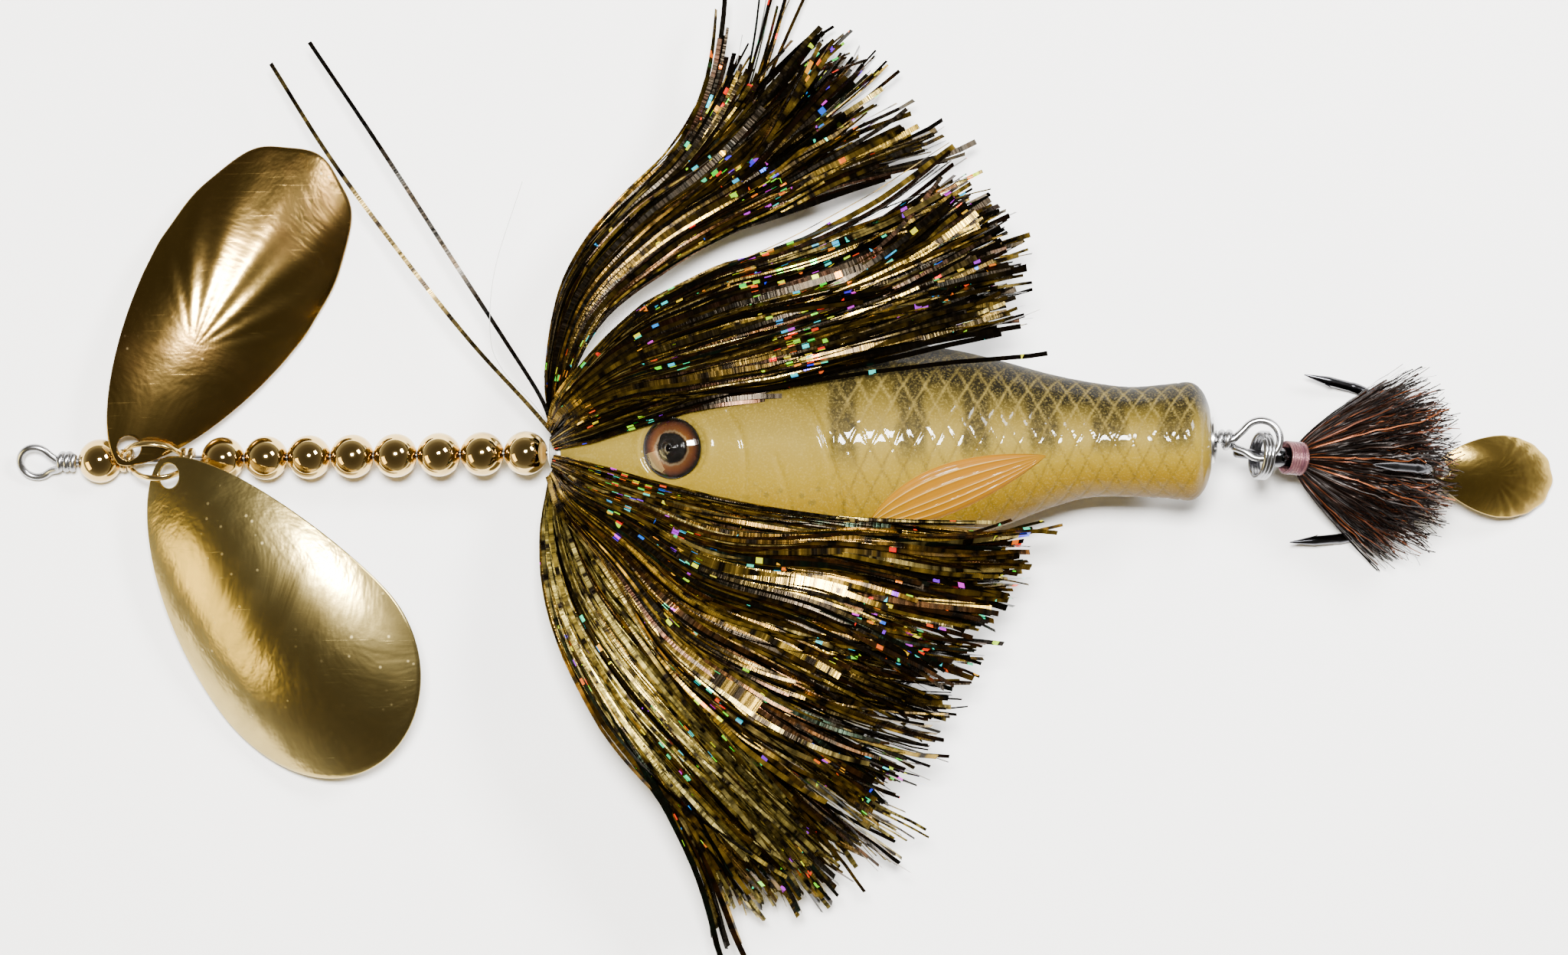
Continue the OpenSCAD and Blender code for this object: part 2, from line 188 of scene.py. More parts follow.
def tube(path, radius, sides, dome=True):
    """A closed tube along a path, with domed ends."""
    path = np.asarray(path, float)
    n = len(path)
    radius = np.broadcast_to(radius, (n,)).astype(float)
    if dome:
        path = np.concatenate([[path[0]], path, [path[-1]]])
        radius = np.concatenate([[radius[0] * 0.6], radius, [radius[-1] * 0.6]])
        step0 = path[1] - path[2]
        step1 = path[-2] - path[-3]
        path[0] = path[1] + step0 / np.linalg.norm(step0) * radius[1] * 0.35
        path[-1] = path[-2] + step1 / np.linalg.norm(step1) * radius[-2] * 0.35
        n += 2
    u, v = frames(path)
    a = np.linspace(0, 2 * math.pi, sides, endpoint=False)
    ring = (u[:, None, :] * np.cos(a)[None, :, None] + v[:, None, :] * np.sin(a)[None, :, None])
    pts = path[:, None, :] + ring * radius[:, None, None]
    s = np.concatenate([[0], np.cumsum(np.linalg.norm(np.diff(path, axis=0), axis=1))])
    uv = np.stack(np.broadcast_arrays(s[:, None], (a / (2 * math.pi))[None, :]), -1).reshape(-1, 2)
    pts = pts.reshape(-1, 3)
    ends = np.array([path[0], path[-1]])
    return (np.concatenate([pts, ends]), grid(n, sides, wrap_m=True), end_caps(n, sides),
            np.concatenate([uv, [[s[0], 0.5], [s[-1], 0.5]]]))


def revolve(profile, n=64, closed=True):
    """A profile of (x, radius) turned about the X axis."""
    profile = np.asarray(profile, float)
    a = np.linspace(0, 2 * math.pi, n, endpoint=False)
    pts = np.stack([np.broadcast_to(profile[:, 0][:, None], (len(profile), n)),
                    profile[:, 1][:, None] * np.cos(a), profile[:, 1][:, None] * np.sin(a)], -1)
    share = np.linspace(0, 1, len(profile))[:, None]
    uv = np.stack(np.broadcast_arrays(share, (a / (2 * math.pi))[None, :]), -1)
    return pts.reshape(-1, 3), grid(len(profile), n, wrap_n=closed, wrap_m=True), None, uv.reshape(-1, 2)


# ---------------------------------------------------------------- materials
def new_material(name):
    mat = bpy.data.materials.new(name)
    mat.use_nodes = True
    tree = mat.node_tree
    bsdf = next(n for n in tree.nodes if n.type == "BSDF_PRINCIPLED")
    return mat, tree, bsdf


def put(tree, socket, value):
    if isinstance(value, bpy.types.NodeSocket):
        tree.links.new(value, socket)
    else:
        socket.default_value = value


def node(tree, kind, values=None, **props):
    n = tree.nodes.new(kind)
    for key, value in props.items():
        setattr(n, key, value)
    for key, value in (values or {}).items():
        put(tree, n.inputs[key], value)
    return n


def calc(tree, operation, a, b=0.0, c=0.0):
    return node(tree, "ShaderNodeMath", {0: a, 1: b, 2: c}, operation=operation).outputs[0]


def times(tree, a, b):
    return calc(tree, "MULTIPLY", a, b)


def plus(tree, a, b):
    return calc(tree, "ADD", a, b)


def away(tree, value, middle, amount):
    """How far a value is from the middle, times an amount."""
    return times(tree, calc(tree, "SUBTRACT", value, middle), amount)


def smooth_step(tree, value, low, high):
    return spread(tree, value, low, high, 0, 1, True)


def split(tree, vector):
    return node(tree, "ShaderNodeSeparateXYZ", {0: vector}).outputs


def vector_of(tree, x, y):
    return node(tree, "ShaderNodeCombineXYZ", {0: x, 1: y}).outputs[0]


def shade(tree, bsdf, values):
    """Set or link several inputs of the surface."""
    for key, value in values.items():
        put(tree, bsdf.inputs[key], value)


def strands(tree, step):
    """From the map of the strands: number, length, a random value for each, and a vector along the strand."""
    across, length, _ = split(tree, coords(tree, "UV"))
    strand = calc(tree, "FLOOR", across)
    one = node(tree, "ShaderNodeTexWhiteNoise", {"W": strand}, noise_dimensions="1D").outputs[0]
    return strand, length, one, vector_of(tree, times(tree, strand, step), length)


def coords(tree, kind="Object"):
    return node(tree, "ShaderNodeTexCoord").outputs[kind]


def mapping(tree, vector, scale=(1, 1, 1), rotation=(0, 0, 0), location=(0, 0, 0)):
    return node(tree, "ShaderNodeMapping", {"Vector": vector, "Scale": scale, "Rotation": rotation,
                                            "Location": location}).outputs[0]


def noise(tree, vector, scale, detail=3.0, rough=0.5, distortion=0.0):
    return node(tree, "ShaderNodeTexNoise", {"Vector": vector, "Scale": scale, "Detail": detail,
                                             "Roughness": rough, "Distortion": distortion}).outputs["Fac"]


def cells(tree, vector, scale):
    """Distance to the nearest of scattered points."""
    return node(tree, "ShaderNodeTexVoronoi", {"Vector": vector, "Scale": scale}).outputs["Distance"]


def ramp(tree, fac, stops, kind="LINEAR"):
    n = node(tree, "ShaderNodeValToRGB", {"Fac": fac})
    r = n.color_ramp
    r.interpolation = kind
    while len(r.elements) < len(stops):
        r.elements.new(0.5)
    for e, (pos, colour) in zip(r.elements, stops):
        e.position = pos
        e.color = (*colour, 1) if len(colour) == 3 else colour
    return n.outputs["Color"]


def mix(tree, fac, a, b):
    n = node(tree, "ShaderNodeMix", {0: fac}, data_type="RGBA")
    put(tree, n.inputs[6], a if isinstance(a, bpy.types.NodeSocket) else (*a, 1))
    put(tree, n.inputs[7], b if isinstance(b, bpy.types.NodeSocket) else (*b, 1))
    return n.outputs[2]


def spread(tree, value, low, high, to_low=0.0, to_high=1.0, smooth=False):
    return node(tree, "ShaderNodeMapRange", {"Value": value, "From Min": low, "From Max": high, "To Min": to_low,
                                             "To Max": to_high},
                interpolation_type="SMOOTHSTEP" if smooth else "LINEAR").outputs[0]


def bump(tree, height, strength, distance, normal=None):
    values = {"Height": height, "Strength": strength, "Distance": distance}
    if normal is not None:
        values["Normal"] = normal
    return node(tree, "ShaderNodeBump", values).outputs[0]


def scratches(tree, vector, scale, amount, turns=(0.3, 1.2, 2.3)):
    """Fine short scratches in several directions, as a height from 0 to 1."""
    total = None
    for k, angle in enumerate(turns):
        stretch = (scale * 0.06, scale * 2.2, scale * 0.3)
        v = mapping(tree, vector, stretch, (0, 0, angle), (k * 0.37, k * 0.11, 0))
        line = ramp(tree, noise(tree, v, 1.0, 4, 0.7, 0.15),
                    [(0.0, (0, 0, 0)), (1 - amount, (0, 0, 0)), (1, (1, 1, 1))])
        total = line if total is None else calc(tree, "MAXIMUM", total, line)
    return total


def metal(name, colour, rough, dark, scale, mark):
    """Polished metal with smudges in its roughness, fine scratches and a little unevenness."""
    mat, tree, bsdf = new_material(name)
    v = coords(tree)
    cloud = noise(tree, v, scale * 0.15, 4, 0.6)
    fine = noise(tree, v, scale, 3, 0.6)
    scr = scratches(tree, v, scale, mark)
    colours = mix(tree, spread(tree, cloud, 0.3, 0.75), colour, dark)
    r = spread(tree, cloud, 0.3, 0.8, rough * 0.7, rough * 1.7)
    n = bump(tree, fine, 0.12, 0.00004)
    shade(tree, bsdf, {
        "Base Color": mix(tree, times(tree, scr, 0.5), colours, [min(1, c * 1.3) for c in colour]),
        "Metallic": 1, "Roughness": plus(tree, r, times(tree, scr, 0.25)),
        "Normal": bump(tree, scr, 0.35, 0.00004, n)})
    return mat


def plastic(name, colour, rough, transmission=0.0):
    mat, tree, bsdf = new_material(name)
    v = coords(tree)
    cloud = noise(tree, v, 150, 4)
    shade(tree, bsdf, {
        "Base Color": mix(tree, spread(tree, cloud, 0.3, 0.7), colour, [c * 0.86 for c in colour]),
        "Roughness": spread(tree, cloud, 0.2, 0.8, rough * 0.8, rough * 1.3),
        "Normal": bump(tree, noise(tree, v, 500, 2), 0.1, 0.00005), "Transmission Weight": transmission})
    return mat


def blade_gold(name, colour, dark):
    """Old gold plate: broad dull patches, many short scratches and small pale flecks."""
    mat, tree, bsdf = new_material(name)
    v = coords(tree)
    broad = noise(tree, v, 38, 5, 0.62, 0.6)
    cloud = noise(tree, v, 190, 5, 0.6)
    fine = noise(tree, v, 1500, 3, 0.6)
    scr = scratches(tree, v, 640, 0.34, (0.2, 0.9, 1.7, 2.6))
    flecks = cells(tree, v, 420.0)
    flecks = times(tree, spread(tree, flecks, 0.16, 0.05), spread(tree, broad, 0.5, 0.62))
    base = mix(tree, spread(tree, broad, 0.35, 0.68), colour, dark)
    base = mix(tree, times(tree, spread(tree, cloud, 0.5, 0.8), 0.35), base, [c * 1.25 for c in colour])
    base = mix(tree, times(tree, flecks, 0.25), base, (0.7, 0.6, 0.35))
    r = plus(tree, spread(tree, broad, 0.3, 0.75, 0.13, 0.26), times(tree, scr, 0.3))
    n = bump(tree, broad, 0.3, 0.0012)
    n = bump(tree, fine, 0.1, 0.00003, n)
    n = bump(tree, cloud, 0.12, 0.0002, n)
    shade(tree, bsdf, {"Base Color": base, "Metallic": 1, "Roughness": plus(tree, r, times(tree, flecks, 0.12)),
                       "Normal": bump(tree, scr, 0.4, 0.00004, n)})
    return mat


CELLS_PER_MM = 0.8


def flash(name, stops, painted_glint_share, rough, strength=1.0):
    """Metallic film strands. Across the map's first axis each strand has a whole number of its own; its second
    axis is the length in millimetres."""
    mat, tree, bsdf = new_material(name)
    strand, length, one, along = strands(tree, 7.31)
    base = ramp(tree, one, stops, "CONSTANT")
    slow = noise(tree, along, 0.35, 2)
    base = mix(tree, spread(tree, slow, 0.24, 0.62), base, [0.008, 0.005, 0.002])
    # painted glints: a strand is cut into cells, and a few of them, more in some places than in others, glow in a
    # colour, standing in for light caught by the film
    cell = node(tree, "ShaderNodeTexWhiteNoise",
                {"Vector": vector_of(tree, strand, calc(tree, "FLOOR", times(tree, length, CELLS_PER_MM)))},
                noise_dimensions="2D")
    patch = spread(tree, noise(tree, coords(tree), 75, 3, 0.6), 0.50, 0.66)
    painted_glint = calc(tree, "GREATER_THAN", cell.outputs[0], calc(tree, "SUBTRACT", 1.0, times(tree, patch, painted_glint_share)))
    hue = node(tree, "ShaderNodeSeparateColor", {0: cell.outputs[1]}).outputs[1]
    hue = times(tree, calc(tree, "POWER", hue, 1.8), 0.85)
    rainbow = node(tree, "ShaderNodeCombineColor", {0: hue, 1: 1.0, 2: 1.0}, mode="HSV").outputs[0]
    base = mix(tree, times(tree, painted_glint, 0.8), base, mix(tree, 0.6, rainbow, (0.02, 0.015, 0.01)))
    # the painted glint cells also glow through the emission inputs below
    shade(tree, bsdf, {
        "Base Color": base, "Metallic": 0.92,
        "Roughness": spread(tree, noise(tree, along, 1.3, 2), 0.3, 0.7, rough * 0.6, rough * 1.5),
        "Emission Color": rainbow, "Emission Strength": times(tree, painted_glint, 1.3 * strength),
        "Normal": bump(tree, noise(tree, along, 2.2, 3), 0.4, 0.00015)})
    return mat


def fibre(name, stops, rough):
    """Threads and hairs, mapped like the strands."""
    mat, tree, bsdf = new_material(name)
    _, _, one, along = strands(tree, 3.7)
    n = noise(tree, along, 1.1, 2)
    colours = ramp(tree, one, stops, "CONSTANT")
    shade(tree, bsdf, {
        "Base Color": mix(tree, spread(tree, n, 0.3, 0.7, 0, 0.5), colours, (0.01, 0.006, 0.004)),
        "Metallic": 0.5, "Specular IOR Level": 0.15,
        "Roughness": spread(tree, n, 0.3, 0.7, rough * 0.7, rough * 1.2), "Normal": bump(tree, n, 0.5, 0.0001)})
    return mat


STEEL = metal("wire_steel", (0.47, 0.47, 0.48), 0.22, (0.30, 0.30, 0.31), 1400, 0.3)
GOLD = metal("ball_gold", (0.74, 0.53, 0.20), 0.05, (0.60, 0.41, 0.14), 700, 0.16)
BRASS = metal("clevis_brass", (0.70, 0.51, 0.19), 0.14, (0.48, 0.33, 0.11), 1200, 0.3)
NICKEL = metal("black_nickel", (0.10, 0.10, 0.11), 0.16, (0.05, 0.05, 0.055), 1200, 0.25)
RING = metal("ring_steel", (0.42, 0.42, 0.43), 0.18, (0.25, 0.25, 0.26), 1400, 0.3)
WASHER = metal("washer_nickel", (0.62, 0.61, 0.60), 0.16, (0.45, 0.44, 0.43), 1200, 0.3)
LEAD = metal("cast_lead", (0.22, 0.22, 0.24), 0.5, (0.14, 0.14, 0.15), 600, 0.3)
FLUTED_GOLD = blade_gold("fluted_gold", (0.25, 0.165, 0.045), (0.14, 0.075, 0.022))
PLAIN_GOLD = blade_gold("plain_gold", (0.46, 0.34, 0.11), (0.27, 0.21, 0.075))
TAIL_GOLD = blade_gold("tail_gold", (0.42, 0.29, 0.07), (0.26, 0.16, 0.035))
COLLAR = plastic("collar_plastic", (0.80, 0.80, 0.76), 0.35)
TUBE = plastic("tube_plastic", (0.85, 0.85, 0.85), 0.2, transmission=0.6)
BUSH = plastic("bush_plastic", (0.85, 0.84, 0.80), 0.3)
DARK_STOPS = [(0.0, (0.003, 0.003, 0.002)), (0.42, (0.022, 0.007, 0.002)), (0.60, (0.045, 0.030, 0.005)),
              (0.72, (0.11, 0.066, 0.008)), (0.83, (0.24, 0.15, 0.015)), (0.92, (0.45, 0.29, 0.035)),
              (0.97, (0.66, 0.48, 0.12))]
GOLD_STOPS = [(0.0, (0.005, 0.004, 0.002)), (0.17, (0.006, 0.018, 0.010)), (0.30, (0.07, 0.026, 0.004)),
              (0.46, (0.19, 0.10, 0.009)), (0.64, (0.34, 0.20, 0.018)), (0.80, (0.54, 0.34, 0.035)),
              (0.92, (0.70, 0.52, 0.14))]
STRAW_STOPS = [(0.0, (0.44, 0.34, 0.07)), (0.3, (0.62, 0.49, 0.13)), (0.6, (0.52, 0.37, 0.05)),
               (0.85, (0.16, 0.11, 0.015))]
FILM_STOPS = [(0.0, (0.58, 0.38, 0.06)), (0.35, (0.40, 0.25, 0.03)), (0.7, (0.76, 0.54, 0.13))]
# the copper-red stop at 0.91 is a painted highlight: a few dark fibres coloured as if they caught the light
DRESSING_STOPS = [(0.0, (0.003, 0.002, 0.002)), (0.55, (0.010, 0.004, 0.002)), (0.80, (0.07, 0.018, 0.006)),
                  (0.91, (0.22, 0.060, 0.018)), (0.96, (0.006, 0.004, 0.003))]
WRAP_STOPS = [(0.0, (0.15, 0.06, 0.075)), (0.4, (0.22, 0.10, 0.10)), (0.75, (0.10, 0.045, 0.055))]
FLASH_DARK = flash("flash_dark", DARK_STOPS, 0.12, 0.2)
FLASH_GOLD = flash("flash_gold", GOLD_STOPS, 0.09, 0.2)
FLASH_STRAW = flash("flash_straw", STRAW_STOPS, 0.004, 0.3, 0.5)
FILM = flash("gold_film", FILM_STOPS, 0.004, 0.13, 0.5)
DRESSING = fibre("dressing_fibre", DRESSING_STOPS, 0.4)
TYING = fibre("skirt_tying_thread", [(0.0, (0.62, 0.62, 0.58)), (0.5, (0.50, 0.50, 0.47))], 0.5)
WRAP = fibre("treble_tying_thread", WRAP_STOPS, 0.3)
HAIR = plastic("clear_hair", (0.55, 0.55, 0.52), 0.2, transmission=0.4)


FLANK_STOPS = [(0.0, (0.105, 0.056, 0.0005)), (0.2, (0.14, 0.082, 0.001)), (0.36, (0.165, 0.109, 0.006)),
               (0.52, (0.160, 0.114, 0.015)), (0.64, (0.115, 0.079, 0.008)), (0.75, (0.050, 0.035, 0.004)),
               (0.84, (0.005, 0.004, 0.001)), (1.0, (0.001, 0.001, 0.001))]
SADDLE_X, SADDLE_PITCH = 0.1482, 0.0118


def body_paint():
    """Pearl gold flanks, dark olive back with saddles, yellow belly, freckles on the gill cover, clear gloss."""
    mat, tree, bsdf = new_material("body_paint")
    v = coords(tree)
    x, y, _ = split(tree, v)
    # height on the flank, from -1 at the belly's edge to 1 at the back's, with a ragged border
    half = spread(tree, x, 0.146, 0.196, 0.0200, 0.0104, True)
    wob = calc(tree, "SUBTRACT", noise(tree, v, 220, 4, 0.6), 0.5)
    up = plus(tree, calc(tree, "DIVIDE", y, half), times(tree, wob, 0.22))
    flank = ramp(tree, spread(tree, up, -1.0, 1.0), FLANK_STOPS)
    # saddles: bars that come down from the back behind the gill cover and fade out on the flank
    wave = away(tree, plus(tree, x, times(tree, wob, 0.004)), SADDLE_X, 2 * math.pi / SADDLE_PITCH)
    wave = smooth_step(tree, calc(tree, "COSINE", wave), -0.25, 0.6)
    down = smooth_step(tree, up, -0.32, 0.1)
    behind = smooth_step(tree, x, 0.140, 0.147)
    speck = spread(tree, noise(tree, v, 900, 3, 0.7), 0.42, 0.62)
    saddle = times(tree, times(tree, times(tree, wave, down), behind), spread(tree, speck, 0, 1, 0.8, 1.0))
    base = mix(tree, times(tree, saddle, 0.9), flank, (0.006, 0.0045, 0.0008))
    # freckles on the lower gill cover
    dots = spread(tree, cells(tree, v, 520.0), 0.34, 0.20)
    along = times(tree, smooth_step(tree, x, 0.128, 0.134), smooth_step(tree, x, 0.154, 0.147))
    across = times(tree, smooth_step(tree, y, -0.0165, -0.012), smooth_step(tree, y, -0.004, -0.009))
    dots = times(tree, dots, times(tree, along, across))
    base = mix(tree, times(tree, dots, 0.55), base, (0.06, 0.045, 0.008))
    # the scales' grooves, darker on the flank than on the back
    groove = split(tree, coords(tree, "UV"))[0]
    groove_colour = mix(tree, spread(tree, up, 0.0, 0.5), (0.070, 0.044, 0.004), (0.17, 0.125, 0.03))
    base = mix(tree, times(tree, groove, 0.75), base, groove_colour)
    shine = noise(tree, v, 2600, 2, 0.7)
    base = mix(tree, times(tree, spread(tree, shine, 0.5, 0.75), 0.3), base, (0.30, 0.225, 0.06))
    shade(tree, bsdf, {
        "Base Color": base, "Specular IOR Level": 0.06,
        "Roughness": spread(tree, shine, 0.3, 0.7, 0.5, 0.62),
        "Coat Weight": spread(tree, calc(tree, "ABSOLUTE", up), 0.55, 0.95, 0.3, 0.04), "Coat Roughness": 0.03,
        "Normal": bump(tree, shine, 0.15, 0.00003)})
    return mat


def fin_paint():
    mat, tree, bsdf = new_material("fin_paint")
    u, w, _ = split(tree, coords(tree, "UV"))
    n = noise(tree, coords(tree), 700, 3)
    base = ramp(tree, plus(tree, u, away(tree, n, 0.5, 0.2)),
                [(0.0, (0.19, 0.095, 0.0002)), (0.25, (0.20, 0.084, 0.0001)), (0.75, (0.19, 0.074, 0.0001)),
                 (1.0, (0.16, 0.075, 0.0002))])
    # silvery rays that spread from the fin's root
    ray = calc(tree, "FRACT", calc(tree, "MULTIPLY_ADD", w, 3.0, 3.5))
    ray = calc(tree, "ABSOLUTE", calc(tree, "SUBTRACT", ray, 0.5))
    ray = times(tree, smooth_step(tree, ray, 0.10, 0.02), smooth_step(tree, u, 0.96, 0.7))
    shade(tree, bsdf, {
        "Base Color": mix(tree, times(tree, ray, 0.6), base, (0.40, 0.29, 0.11)), "Specular IOR Level": 0.06,
        "Roughness": spread(tree, n, 0.3, 0.7, 0.45, 0.6), "Coat Weight": 0.07, "Coat Roughness": 0.05,
        "Normal": bump(tree, n, 0.15, 0.00004)})
    return mat


def iris_paint():
    mat, tree, bsdf = new_material("iris_paint")
    a, r, _ = split(tree, coords(tree, "UV"))
    streak = noise(tree, vector_of(tree, times(tree, a, 70.0), times(tree, r, 2.5)), 1.0, 4, 0.6)
    base = ramp(tree, plus(tree, r, away(tree, streak, 0.5, 0.16)),
                [(0.0, (0.01, 0.008, 0.006)), (0.47, (0.05, 0.02, 0.012)), (0.53, (0.42, 0.30, 0.16)),
                 (0.60, (0.24, 0.085, 0.022)), (0.78, (0.13, 0.040, 0.012)), (0.88, (0.05, 0.016, 0.007)),
                 (0.95, (0.006, 0.005, 0.004))])
    shade(tree, bsdf, {"Base Color": base, "Metallic": 0.7,
                       "Roughness": spread(tree, streak, 0.3, 0.7, 0.25, 0.5),
                       "Normal": bump(tree, streak, 0.3, 0.0001)})
    return mat


BODY_PAINT = body_paint()
FIN_PAINT = fin_paint()
IRIS = iris_paint()
PUPIL = plastic("pupil_black", (0.006, 0.005, 0.005), 0.15)
DOME = plastic("eye_dome", (0.95, 0.95, 0.95), 0.02, transmission=1.0)


# ---------------------------------------------------------------- shaft wire
def circle_points(centre, radius, start, end, n, roll=0.0):
    a = np.radians(np.linspace(start, end, n))
    p = np.stack([radius * np.cos(a), radius * np.sin(a), np.zeros(n)], -1)
    return p @ turn("x", roll).T + np.asarray(centre, float)


def helix(x0, x1, radius, turns, phase, n):
    t = np.linspace(0, 1, n)
    a = np.radians(phase) + 2 * math.pi * turns * t
    return np.stack([x0 + (x1 - x0) * t, radius * np.cos(a), radius * np.sin(a)], -1)


WRAP_R = 1.36
roll = 25
front = np.concatenate([
    helix(7.35, 4.55, WRAP_R, 2.35, 40, 90),
    circle_points((0, 0, 0), TIE_R, -38, -328, 80, roll)])
front = relax(even(front, 260), 14)
shaft = np.stack([np.linspace(4.4, 219.0, 160), np.zeros(160), np.zeros(160)], -1)
rear = np.concatenate([
    circle_points((LOOP_X, 0, 0), LOOP_R, 148, -142, 80),
    helix(219.0, 216.75, WRAP_R, 1.7, 200, 70)])
rear = relax(even(rear, 240), 14)
wire = even(np.concatenate([front, shaft, rear]), 2400)
wire = relax(wire, 12)
p, q, t, uv = tube(wire, WIRE_R, 14)
make("shaft_wire_swept", p, q, STEEL, "shaft", ["tie_eye", "shaft_wire", "tail_eye"], uv, t)

# ---------------------------------------------------------------- balls
bore = WIRE_R + 0.07
a = np.linspace(math.asin((bore + 0.12) / BALL_R), math.pi - math.asin((bore + 0.12) / BALL_R), 46)
face = -BALL_R * math.cos(a[0])
profile = [(-BALL_R * math.cos(v), BALL_R * math.sin(v)) for v in a]
profile += [(-face - 0.05, bore + 0.03), (-face - 0.2, bore), (face + 0.2, bore), (face + 0.05, bore + 0.03)]
for k in range(9):
    x = FRONT_BALL_X if k == 0 else ROW_X + (k - 1) * 2 * BALL_R
    name = "front_ball" if k == 0 else "ball_%d" % k
    p, q, _, uv = revolve(profile, 72)
    # each ball has a shade more or less plate on it, so its roundness is a little its own
    rng = np.random.default_rng(100 + k)
    d = rng.normal(size=(3, 3))
    u = p / np.linalg.norm(p, axis=1)[:, None]
    p = p * (1 + 0.002 * np.sin(u @ d.T * 3).mean(1))[:, None]
    p = np.clip(p, [-BALL_R + 0.001, -5, -5], [BALL_R - 0.001, 5, 5])
    make(name + "_polished", p + [x, 0, 0], q, GOLD, name, [name], uv)


# ---------------------------------------------------------------- clevises
STRIP_T = 0.33
EAR_RIM = [(0.36, bore), (0.4, bore + 0.06), (0.4, 2.0), (0.33, 2.08), (0.1, 2.1)]


def clevis(name, x, stand):
    """A flat strip that widens into a round ear at each end, bent into a half circle."""
    n, k = 64, 16
    ang = np.radians(np.linspace(0, 180, n))
    width = 0.53 + 0.95 * np.clip(np.abs(np.cos(ang)) - 0.95, 0, 1) / 0.05
    c = np.linspace(0, 2 * math.pi, k, endpoint=False)
    # a rounded rectangle as the strip's section
    sq = np.sign(np.cos(c)) * np.abs(np.cos(c)) ** 0.6, np.sign(np.sin(c)) * np.abs(np.sin(c)) ** 0.6
    radial = np.stack([np.cos(ang), np.sin(ang), np.zeros(n)], -1)
    side = np.array([0, 0, 1.0])
    pts = (radial[:, None, :] * (BOW_R + STRIP_T * sq[0][None, :, None])
           + side * (width[:, None, None] * sq[1][None, :, None])).reshape(-1, 3)
    ends = np.array([radial[0] * BOW_R, radial[-1] * BOW_R])
    pts = np.concatenate([pts, ends]) @ turn("x", stand).T
    parts = [(pts, grid(n, k, wrap_m=True), end_caps(n, k), None)]
    rim = [(-h, r) for h, r in EAR_RIM] + EAR_RIM[::-1]
    for s in (-1, 1):
        pts, quads = revolve(rim, 48)[:2]
        parts.append((pts + [s * BOW_R, 0, 0], quads, None, None))
    p, q, t, _ = joined(parts)
    make(name + "_strip", p + [x, 0, 0], q, BRASS, name, [name], None, t)


CLEVIS_FRONT = (22.1, 58)
CLEVIS_REAR = (23.5, 126)
clevis("clevis_front", *CLEVIS_FRONT)
clevis("clevis_rear", *CLEVIS_REAR)


# ---------------------------------------------------------------- blades
def superellipse(size, w, edge):
    """Outline of a blade, starting at its narrow end, with the hole at the origin."""
    n, blunt = 90, 1.6
    b = np.linspace(0, math.pi / 2, n)
    x1 = size[0] - edge - size[0] * np.cos(b) ** (2 / blunt)
    y1 = w * np.sin(b) ** (2 / blunt)
    b = b[::-1]
    x2 = size[0] - edge + size[1] * np.cos(b) ** (2 / size[2])
    y2 = w * np.sin(b) ** (2 / size[2])
    half = np.stack([np.concatenate([x1, x2[1:]]), np.concatenate([y1, y2[1:]])], -1)
    return np.concatenate([half, (half * [1, -1])[-2:0:-1]])


